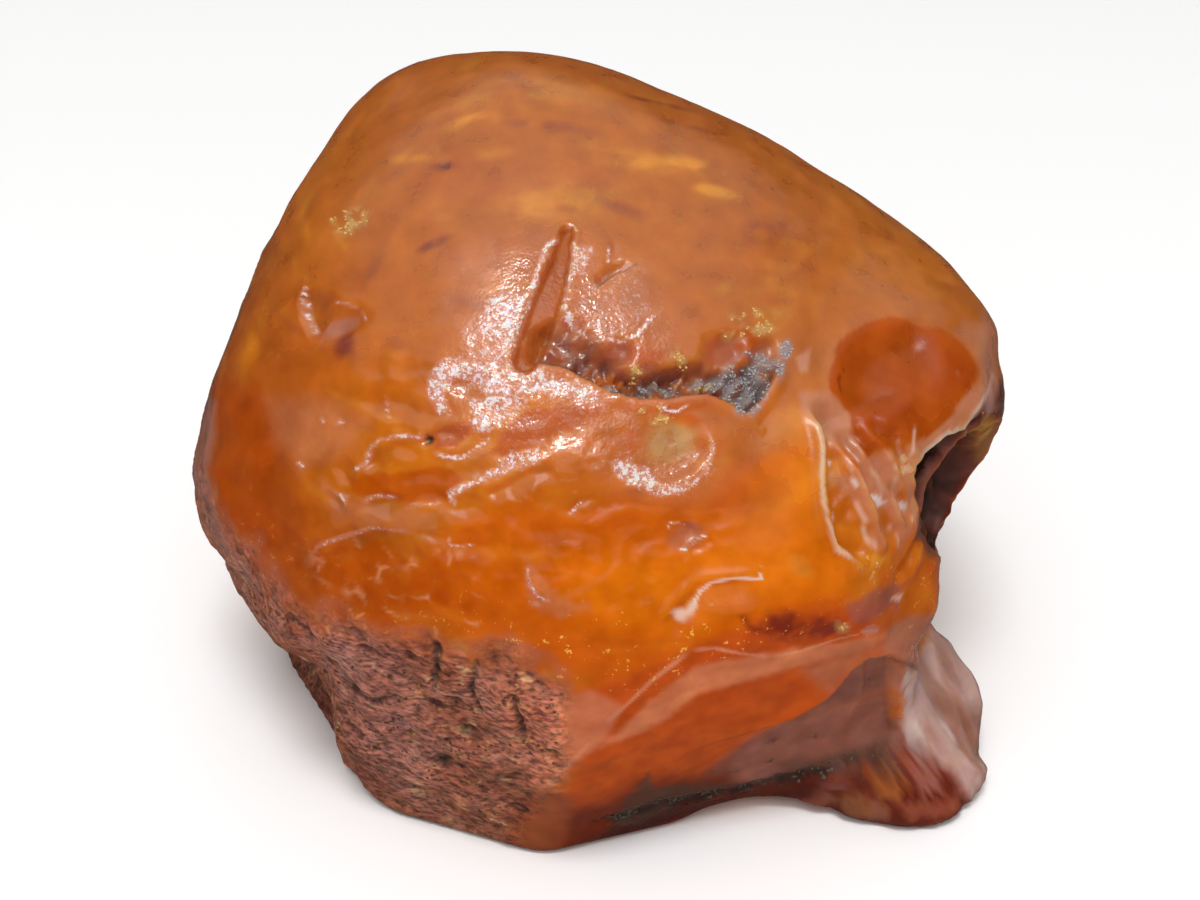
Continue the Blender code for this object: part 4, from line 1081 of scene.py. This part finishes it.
# pinkish patch on the wall: painted reflection
tint = paint(rgb(0.42, 0.23, 0.19), 0.75 * wall * patch((992, 388), (1002, 380), (1006, 408), (996, 420), (988, 410), soft=4.0, fray=jag), tint)
# pale crest line: painted highlight
tint = paint(rgb(0.74, 0.50, 0.43), 0.75 * crest, tint)
# darker where the stone meets the floor: painted contact shade
tint = paint(rgb(0.16, 0.035, 0.020), 0.5 * base, tint)
tint = paint(rgb(0.26, 0.070, 0.030), 0.55 * right_rough, tint)
tint = paint(rgb(0.34, 0.29, 0.28), 0.85 * grey, tint)
tint = paint(rgb(0.66, 0.42, 0.14), 0.9 * ochre, tint)
# dirt, shadowed cracks and painted shade
tint = paint(rgb(0.035, 0.022, 0.016), dark, tint)
tint = paint(rgb(0.52, 0.125, 0.016), 0.9 * in_stroke, tint)
# pinkish band along the right edge: painted reflection
tint = paint(rgb(0.60, 0.25, 0.16), 0.6 * patch((985, 300), (1003, 335), (1012, 380), (1004, 402), (984, 396), (987, 360),
             (978, 330), soft=5.0), tint)
tint = np.clip(tint, 0.003, 1.0)

rough_of = 0.30 - 0.17 * smooth(-nz, -0.66, -0.36) + 0.02 * n2
rough_of = rough_of + (0.11 - rough_of) * shoulder * 0.8
rough_of = rough_of + (0.14 - rough_of) * sharp * 0.9
rough_of = rough_of + (0.45 - rough_of) * in_stroke
rough_of = rough_of + (0.42 - rough_of) * crust
rough_of = rough_of + (0.20 - rough_of) * np.maximum(cut, low)
rough_of = rough_of + (0.14 - rough_of) * np.maximum(flute, foot)
rough_of = rough_of + (0.60 - rough_of) * np.maximum.reduce([notch, dark])
rough_of = rough_of + (0.80 - rough_of) * np.maximum(grey, ochre)
rough_of = np.clip(rough_of, 0.06, 0.95)
fleck_glint_of = np.clip(np.maximum.reduce([
    patch((480, 610), (560, 590), (640, 600), (760, 610), (860, 625), (760, 655), (640, 690), (560, 680), (500, 650), soft=14.0),
    0.5 * patch((400, 600), (480, 590), (520, 640), (440, 650), soft=14.0), 0.55 * belt,
    patch((858, 552), (890, 548), (900, 570), (862, 572), soft=4.0), 0.5 * crust]), 0.0, 1.0)
grain_of = np.clip(np.maximum.reduce([0.5 * sharp, crazed_glint, 1.0 * crust, 0.10 * dome, 0.15 * behind, 0.12 * cut]), 0.03, 1.0)


# ------------------------------------------------------------------- the meshes
def make(name, pts, faces, material, smooth_shade=True):
    me = bpy.data.meshes.new(name)
    pts = (np.asarray(pts) - SHIFT) * MM
    me.from_pydata(pts.tolist(), [], np.asarray(faces).tolist())
    me.validate()
    me.update()
    ob = bpy.data.objects.new(name, me)
    bpy.context.scene.collection.objects.link(ob)
    if smooth_shade:
        me.polygons.foreach_set("use_smooth", [True] * len(me.polygons))
    me.materials.append(material)
    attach(ob, "root")
    return ob


def colour_layer(ob, name, values):
    a = ob.data.attributes.new(name, "FLOAT_COLOR", "POINT")
    v = np.ones((len(values), 4), np.float32)
    v[:, :3] = values
    a.data.foreach_set("color", v.ravel())


def float_layer(ob, name, values):
    a = ob.data.attributes.new(name, "FLOAT", "POINT")
    a.data.foreach_set("value", np.asarray(values, np.float32))


class Nodes:
    """Short hand for wiring one material."""

    def __init__(self, name):
        self.mat = bpy.data.materials.new(name)
        self.mat.use_nodes = True
        self.tree = self.mat.node_tree
        self.tree.nodes.clear()
        self.out = self.tree.nodes.new("ShaderNodeOutputMaterial")
        self.coord = self.add("TexCoord").outputs["Object"]

    def add(self, kind, **props):
        n = self.tree.nodes.new("ShaderNode" + kind)
        for k, v in props.items():
            setattr(n, k, v)
        return n

    def link(self, a, b):
        self.tree.links.new(a, b)

    def noise(self, scale, detail=3.0, rough=0.55, distort=0.0, stretch=None, turn=None):
        n = self.add("TexNoise")
        n.inputs["Scale"].default_value = scale
        n.inputs["Detail"].default_value = detail
        n.inputs["Roughness"].default_value = rough
        n.inputs["Distortion"].default_value = distort
        src = self.coord
        if stretch is not None:
            m = self.add("Mapping")
            m.inputs["Scale"].default_value = stretch
            if turn is not None:
                m.inputs["Rotation"].default_value = turn
            self.link(src, m.inputs["Vector"])
            src = m.outputs[0]
        self.link(src, n.inputs["Vector"])
        return n.outputs["Fac"]

    def cell(self, scale, feature="F1"):
        n = self.add("TexVoronoi", feature=feature)
        n.inputs["Randomness"].default_value = 1.0
        n.inputs["Scale"].default_value = scale
        self.link(self.coord, n.inputs["Vector"])
        return n.outputs["Distance"]

    def remap(self, src, lo, hi, to_lo=0.0, to_hi=1.0):
        n = self.add("MapRange")
        n.clamp = True
        for i, v in enumerate((lo, hi, to_lo, to_hi)):
            n.inputs[i + 1].default_value = v
        self.link(src, n.inputs[0])
        return n.outputs[0]

    def math(self, op, a, b=None):
        n = self.add("Math", operation=op)
        for i, v in enumerate((a, b)):
            if v is None:
                continue
            if isinstance(v, (int, float)):
                n.inputs[i].default_value = v
            else:
                self.link(v, n.inputs[i])
        return n.outputs[0]

    def mix(self, fac, a, b, blend="MIX"):
        n = self.add("Mix", data_type="RGBA", blend_type=blend)
        for key, v in ((0, fac), (6, a), (7, b)):
            if isinstance(v, (int, float)):
                n.inputs[key].default_value = v
            elif isinstance(v, tuple):
                n.inputs[key].default_value = v
            else:
                self.link(v, n.inputs[key])
        return n.outputs[2]

    def layer(self, name, out="Fac"):
        n = self.add("Attribute", attribute_name=name)
        return n.outputs[out]

    def bump(self, height, strength, distance, below=None):
        n = self.add("Bump")
        n.inputs["Strength"].default_value = strength
        n.inputs["Distance"].default_value = distance
        self.link(height, n.inputs["Height"])
        if below is not None:
            self.link(below, n.inputs["Normal"])
        return n.outputs[0]


# the resin itself
m = Nodes("amber")
p = m.add("BsdfPrincipled")
m.link(p.outputs[0], m.out.inputs["Surface"])
tint_node = m.layer("tint", "Color")
cloudy = m.noise(420.0, 2.0, 0.5, 0.0)
shade = m.remap(cloudy, 0.20, 0.80, 0.80, 1.18)
comb = m.add("CombineColor")
m.link(shade, comb.inputs[0])
m.link(m.math("POWER", shade, 1.35), comb.inputs[1])
m.link(m.math("POWER", shade, 1.6), comb.inputs[2])
body = m.mix(1.0, tint_node, comb.outputs[0], "MULTIPLY")
crust_at = m.layer("crust")
patchy = m.noise(420.0, 1.0)
holes = m.math("MULTIPLY", m.remap(m.cell(1500.0), 0.30, 0.12), m.remap(patchy, 0.42, 0.55))
holes = m.math("MULTIPLY", holes, crust_at)
earthy = m.remap(m.noise(1500.0, 1.0, 0.80, 0.0, (0.75, 0.75, 1.5), (0.0, 0.7, 0.3)), 0.34, 0.66, 0.42, 1.66)
body = m.mix(m.math("MULTIPLY", crust_at, 0.95), body, m.mix(1.0, body, earthy, "MULTIPLY"))
body = m.mix(m.math("MULTIPLY", holes, 0.85), body, (0.05, 0.010, 0.008, 1.0))
# golden flecks in the resin, painted bright as glints
bits = m.math("MULTIPLY", m.remap(m.noise(1500.0, 2.0, 0.75), 0.63, 0.68), m.remap(patchy, 0.42, 0.52))
bits = m.math("MULTIPLY", bits, m.layer("fleck_glint"))
body = m.mix(m.math("MULTIPLY", bits, 0.9), body, (1.0, 0.52, 0.10, 1.0))
# painted glints: a pinkish-white film and white sparks over the crazed skin
glitter = m.noise(2300.0, 2.0, 0.8)
painted_sparkle = m.math("MULTIPLY", m.remap(m.math("ADD", glitter, m.math("MULTIPLY", m.layer("crazed_glint"), 0.08)), 0.55, 0.64), m.layer("crazed_glint"))
painted_sparkle = m.remap(painted_sparkle, 0.10, 0.90)
film = m.math("MULTIPLY", m.layer("crazed_glint"), 0.62)
body = m.mix(film, body, (0.86, 0.47, 0.36, 1.0))
crackle = m.remap(m.math("ABSOLUTE", m.math("SUBTRACT", m.noise(1300.0, 1.0), 0.5)), 0.022, 0.006)
crackle = m.math("MULTIPLY", m.math("MULTIPLY", crackle, m.remap(patchy, 0.44, 0.54)), m.layer("crazed_glint"))
body = m.mix(m.math("MULTIPLY", crackle, 0.7), body, (0.26, 0.07, 0.03, 1.0))
body = m.mix(painted_sparkle, body, (1.0, 0.88, 0.88, 1.0))
# painted ridge highlights, carried by the line attribute
body = m.mix(m.math("MULTIPLY", m.layer("line"), 0.85), body, (1.0, 0.76, 0.64, 1.0))
m.link(body, p.inputs["Base Color"])
m.link(m.layer("gloss"), p.inputs["Specular IOR Level"])
wear = m.remap(cloudy, 0.20, 0.80, -0.06, 0.07)
m.link(m.math("ADD", m.layer("satin"), wear), p.inputs["Roughness"])
p.inputs["IOR"].default_value = 1.54
p.inputs["Transmission Weight"].default_value = 0.35
p.inputs["Subsurface Weight"].default_value = 0.6
p.inputs["Subsurface Radius"].default_value = (1.0, 0.28, 0.05)
p.inputs["Subsurface Scale"].default_value = 0.006
grain = m.layer("grain")
fine = m.math("MULTIPLY", m.noise(2600.0, 1.0, 0.8), grain)
relief = m.math("MULTIPLY", fine, 0.00014)
m.link(m.bump(relief, 1.0, 1.0), p.inputs["Normal"])
vol = m.add("VolumeAbsorption")
vol.inputs["Color"].default_value = (0.97, 0.71, 0.04, 1.0)
vol.inputs["Density"].default_value = 420.0
m.link(vol.outputs[0], m.out.inputs["Volume"])
AMBER = m.mat

stone = make("amber_skin", P1, quads, AMBER)
colour_layer(stone, "tint", tint)
float_layer(stone, "satin", rough_of)
float_layer(stone, "grain", grain_of)
float_layer(stone, "fleck_glint", fleck_glint_of)
float_layer(stone, "crust", crust)
float_layer(stone, "crazed_glint", np.clip(crazed_glint, 0.0, 1.0) * keep)
float_layer(stone, "line", np.clip(ridge_highlight, 0.0, 1.0))
float_layer(stone, "gloss", np.clip(0.5 - 0.42 * calm - 0.08 * deep, 0.0, 1.0))
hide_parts("amber_nugget")


# ------------------------------------------- mineral grains and what is sealed in
def icosahedron():
    t = (1.0 + 5.0 ** 0.5) / 2.0
    v = np.array([(-1, t, 0), (1, t, 0), (-1, -t, 0), (1, -t, 0), (0, -1, t), (0, 1, t), (0, -1, -t), (0, 1, -t),
                  (t, 0, -1), (t, 0, 1), (-t, 0, -1), (-t, 0, 1)], float)
    f = [(0, 11, 5), (0, 5, 1), (0, 1, 7), (0, 7, 10), (0, 10, 11), (1, 5, 9), (5, 11, 4), (11, 10, 2), (10, 7, 6), (7, 1, 8),
         (3, 9, 4), (3, 4, 2), (3, 2, 6), (3, 6, 8), (3, 8, 9), (4, 9, 5), (2, 4, 11), (6, 2, 10), (8, 6, 7), (9, 8, 1)]
    return v / np.linalg.norm(v[0]), f


def split(v, f):
    """Each face cut in four, pushed out to the unit ball."""
    v, out, seen = list(map(tuple, v)), [], {}

    def mid(a, b):
        key = (min(a, b), max(a, b))
        if key not in seen:
            c = np.array(v[a]) + np.array(v[b])
            seen[key] = len(v)
            v.append(tuple(c / np.linalg.norm(c)))
        return seen[key]

    for a, b, c in f:
        ab, bc, ca_ = mid(a, b), mid(b, c), mid(c, a)
        out += [(a, ab, ca_), (b, bc, ab), (c, ca_, bc), (ab, bc, ca_)]
    return np.array(v), out


ICO = icosahedron()
BALL = split(*split(*ICO))


def frame_at(n):
    """Two directions along the skin, and the way out of it."""
    a = np.cross(n, VIEW_UP if abs(n @ VIEW_UP) < 0.95 else np.array([1.0, 0.0, 0.0]))
    a /= np.linalg.norm(a)
    return np.stack([a, np.cross(n, a), n])


def plain(name, colour, rough):
    mat = Nodes(name)
    q = mat.add("BsdfPrincipled")
    q.inputs["Base Color"].default_value = (*colour, 1.0)
    q.inputs["Roughness"].default_value = rough
    mat.link(q.outputs[0], mat.out.inputs["Surface"])
    return mat.mat


def grains(name, where, count, small, large, material, seed):
    """Little broken crystals standing on the skin, sunk to about half."""
    rng = np.random.default_rng(seed)
    spots = np.where(where)[0]
    pick = rng.choice(spots, count)
    pts, faces = [], []
    for i in pick:
        r = rng.uniform(small, large)
        ball = ICO[0] * rng.uniform(0.6, 1.25, (12, 1)) * np.array([1.0, rng.uniform(0.6, 1.0), rng.uniform(0.5, 0.9)])
        turn = rng.normal(size=(3, 3))
        turn, _ = np.linalg.qr(turn)
        slide = frame_at(N[i])
        centre = P1[i] + N[i] * r * rng.uniform(-0.2, 0.3) + rng.normal() * 0.12 * slide[0] + rng.normal() * 0.12 * slide[1]
        faces += [tuple(k + len(pts) for k in f) for f in ICO[1]]
        pts += list(centre + (ball * r) @ turn)
    return make(name, pts, faces, material, False)


def sealed(name, rows, material, seed):
    """Flat lumps lying in the resin under the skin: place, depth, size, turn."""
    rng = np.random.default_rng(seed)
    pts, faces = [], []
    for spot, depth, (ra, rb, rc), turn in rows:
        c = pin(spot)
        n = gradient(c)[0]
        e = frame_at(n)
        t = radians(turn)
        a, b = e[0] * cos(t) + e[1] * sin(t), -e[0] * sin(t) + e[1] * cos(t)
        ball = BALL[0] * (1.0 + 0.30 * noise(BALL[0] + rng.uniform(0, 50, 3), 0.8, seed))[:, None]
        q = c[0] - n * depth + ball[:, :1] * ra * a + ball[:, 1:2] * rb * b + ball[:, 2:] * rc * n
        faces += [tuple(k + len(pts) for k in f) for f in BALL[1]]
        pts += list(q)
    return make(name, pts, faces, material)


near_lip = np.linalg.norm(P - pin((690, 385))[0], axis=1) < 15.0
grains("fissure_mineral", (grey > 0.45) & near_lip, 600, 0.06, 0.16, plain("mineral", (0.36, 0.335, 0.33), 0.8), 31)
grains("fissure_earth", (ochre > 0.45) & (z > 8.0), 220, 0.07, 0.17, plain("earth", (0.62, 0.36, 0.10), 0.9), 32)
# dark grains where the dark mask is strong low on the front, mostly along the painted crease shade
grains("crease_dark_grains", (dark > 0.5) & (z < 9.0) & (y < -8.0), 160, 0.10, 0.22, plain("crease_shade", (0.10, 0.075, 0.05), 0.9), 33)
sealed("sealed_clouds", [((470, 122), 1.6, (2.4, 0.8, 0.35), 12), ((420, 155), 1.4, (2.6, 0.8, 0.3), 8),
                         ((690, 165), 1.5, (3.0, 1.0, 0.4), -8), ((715, 190), 2.2, (2.2, 0.8, 0.4), -14),
                         ((560, 200), 3.2, (5.0, 2.0, 0.7), 8), ((640, 160), 2.6, (3.4, 1.4, 0.6), -5),
                         ((745, 290), 2.0, (2.4, 1.0, 0.5), 10), ((800, 470), 3.4, (3.4, 5.0, 0.9), -20),
                         ((620, 600), 3.0, (5.5, 2.2, 0.8), 0), ((795, 568), 1.0, (1.3, 0.8, 0.3), -35),
                         ((500, 560), 3.6, (4.5, 1.6, 0.8), 10), ((900, 620), 1.6, (1.2, 0.8, 0.4), 0)],
       plain("cloud", (1.0, 0.50, 0.07), 0.7), 41)
sealed("sealed_flakes", [((432, 244), 0.8, (1.5, 0.4, 0.12), 25), ((372, 262), 1.2, (0.5, 1.4, 0.12), -15),
                         ((660, 104), 1.0, (2.6, 0.4, 0.12), -10), ((905, 395), 2.4, (2.2, 1.4, 0.2), 30),
                         ((850, 376), 0.9, (0.25, 1.2, 0.12), -20), ((790, 626), 1.1, (2.4, 0.5, 0.15), 4),
                         ((880, 812), 1.6, (2.0, 0.8, 0.15), 20), ((940, 790), 1.4, (1.0, 1.6, 0.15), -30)],
       plain("flake", (0.13, 0.018, 0.010), 0.5), 42)


# --------------------------------------------------------------- floor and light
def world_light():
    w = bpy.data.worlds.new("studio")
    w.use_nodes = True
    t = w.node_tree
    t.nodes.clear()
    out = t.nodes.new("ShaderNodeOutputWorld")
    bg = t.nodes.new("ShaderNodeBackground")
    geo = t.nodes.new("ShaderNodeTexCoord")
    sep = t.nodes.new("ShaderNodeSeparateXYZ")
    ramp = t.nodes.new("ShaderNodeMapRange")
    ramp.interpolation_type = "SMOOTHSTEP"
    for i, v in enumerate((0.36, 0.52, 0.03, 0.80)):
        ramp.inputs[i + 1].default_value = v
    t.links.new(geo.outputs["Generated"], sep.inputs[0])
    t.links.new(sep.outputs["Z"], ramp.inputs[0])
    path = t.nodes.new("ShaderNodeLightPath")
    mixer = t.nodes.new("ShaderNodeMix")
    mixer.data_type = "FLOAT"
    mixer.inputs[2].default_value = 0.42
    t.links.new(path.outputs["Is Glossy Ray"], mixer.inputs[0])
    t.links.new(ramp.outputs[0], mixer.inputs[3])
    t.links.new(mixer.outputs[0], bg.inputs["Strength"])
    bg.inputs["Color"].default_value = (1.0, 0.99, 0.98, 1.0)
    t.links.new(bg.outputs[0], out.inputs[0])
    bpy.context.scene.world = w


def softbox(name, az, el, dist, w, h, radiance, glossy=True, colour=(1, 1, 1)):
    d = bpy.data.lights.new(name, "AREA")
    d.shape = "RECTANGLE"
    d.size, d.size_y = w, h
    d.energy = radiance * pi * w * h
    d.color = colour
    o = bpy.data.objects.new(name, d)
    bpy.context.scene.collection.objects.link(o)
    centre = Vector((0.0, 0.0, 0.03))
    direction = Vector(unit(az, el))
    o.location = centre + direction * dist
    o.rotation_euler = direction.to_track_quat("Z", "Y").to_euler()
    o.visible_glossy = glossy
    o.visible_camera = False
    return o


world_light()
softbox("key", -4.0, 66.0, 0.9, 0.24, 0.18, 30.0)
softbox("broad", -6.0, 60.0, 1.0, 0.80, 0.62, 2.4)
softbox("top", 0.0, 88.0, 1.3, 1.5, 1.2, 0.30)
softbox("front_fill", 0.0, 30.0, 1.1, 0.9, 0.5, 0.35, glossy=False)

# a dark card lying round the stone, seen only in its gloss
card_mat = Nodes("dark_card")
cp = card_mat.add("BsdfPrincipled")
reach_of = card_mat.add("VectorMath", operation="LENGTH")
card_mat.link(card_mat.coord, reach_of.inputs[0])
tone = card_mat.remap(reach_of.outputs["Value"], 0.045, 0.085, 0.09, 0.02)
card_mat.link(tone, cp.inputs["Base Color"])
cp.inputs["Roughness"].default_value = 0.9
card_mat.link(cp.outputs[0], card_mat.out.inputs["Surface"])
ring_pts, ring_faces = [], []
for i in range(64):
    a = 2.0 * pi * i / 64
    for r in (0.004, 2.5):
        ring_pts.append((r * cos(a), r * sin(a), 0.0003))
for i in range(64):
    j = (i + 1) % 64
    ring_faces.append((2 * i, 2 * i + 1, 2 * j + 1, 2 * j))
card_mesh = bpy.data.meshes.new("dark_card")
card_mesh.from_pydata(ring_pts, [], ring_faces)
card_mesh.materials.append(card_mat.mat)
card = bpy.data.objects.new("dark_card", card_mesh)
bpy.context.scene.collection.objects.link(card)
wall_pts, wall_faces = [], []
for i in range(25):
    a = radians(30.0 + 98.0 * i / 24)
    for h in (0.0, 0.47):
        wall_pts.append((0.5 * sin(a), -0.5 * cos(a), h))
for i in range(24):
    wall_faces.append((2 * i, 2 * i + 2, 2 * i + 3, 2 * i + 1))
wall_mesh = bpy.data.meshes.new("dark_wall")
wall_mesh.from_pydata(wall_pts, [], wall_faces)
wall_mesh.materials.append(card_mat.mat)
wall = bpy.data.objects.new("dark_wall", wall_mesh)
bpy.context.scene.collection.objects.link(wall)
for o in (card, wall):
    o.visible_camera = False
    o.visible_diffuse = False
    o.visible_transmission = False
    o.visible_shadow = False

floor_mat = Nodes("floor")
fp = floor_mat.add("BsdfPrincipled")
fp.inputs["Base Color"].default_value = (0.93, 0.93, 0.93, 1.0)
fp.inputs["Roughness"].default_value = 0.7
floor_mat.link(fp.outputs[0], floor_mat.out.inputs["Surface"])
bpy.ops.mesh.primitive_plane_add(size=6.0, location=(0.0, 0.0, -0.0002))
floor = bpy.context.object
floor.name = "floor"
floor.data.materials.append(floor_mat.mat)

cam_data = bpy.data.cameras.new("camera")
cam_data.lens = LENS
cam_data.sensor_width = 36.0
cam_data.clip_start = 0.005
cam = bpy.data.objects.new("camera", cam_data)
bpy.context.scene.collection.objects.link(cam)
aim = Vector((TARGET - SHIFT) * MM)
back = Vector((0.0, -cos(radians(CAM_EL)), sin(radians(CAM_EL))))
cam.location = aim + back * CAM_DIST * MM
cam.rotation_euler = back.to_track_quat("Z", "Y").to_euler()
bpy.context.scene.camera = cam
bpy.context.scene.view_settings.view_transform = "Standard"
cycles = bpy.context.scene.cycles
cycles.max_bounces = 4
cycles.diffuse_bounces = 2
cycles.glossy_bounces = 1
cycles.transmission_bounces = 3
cycles.caustics_reflective = False
cycles.caustics_refractive = False
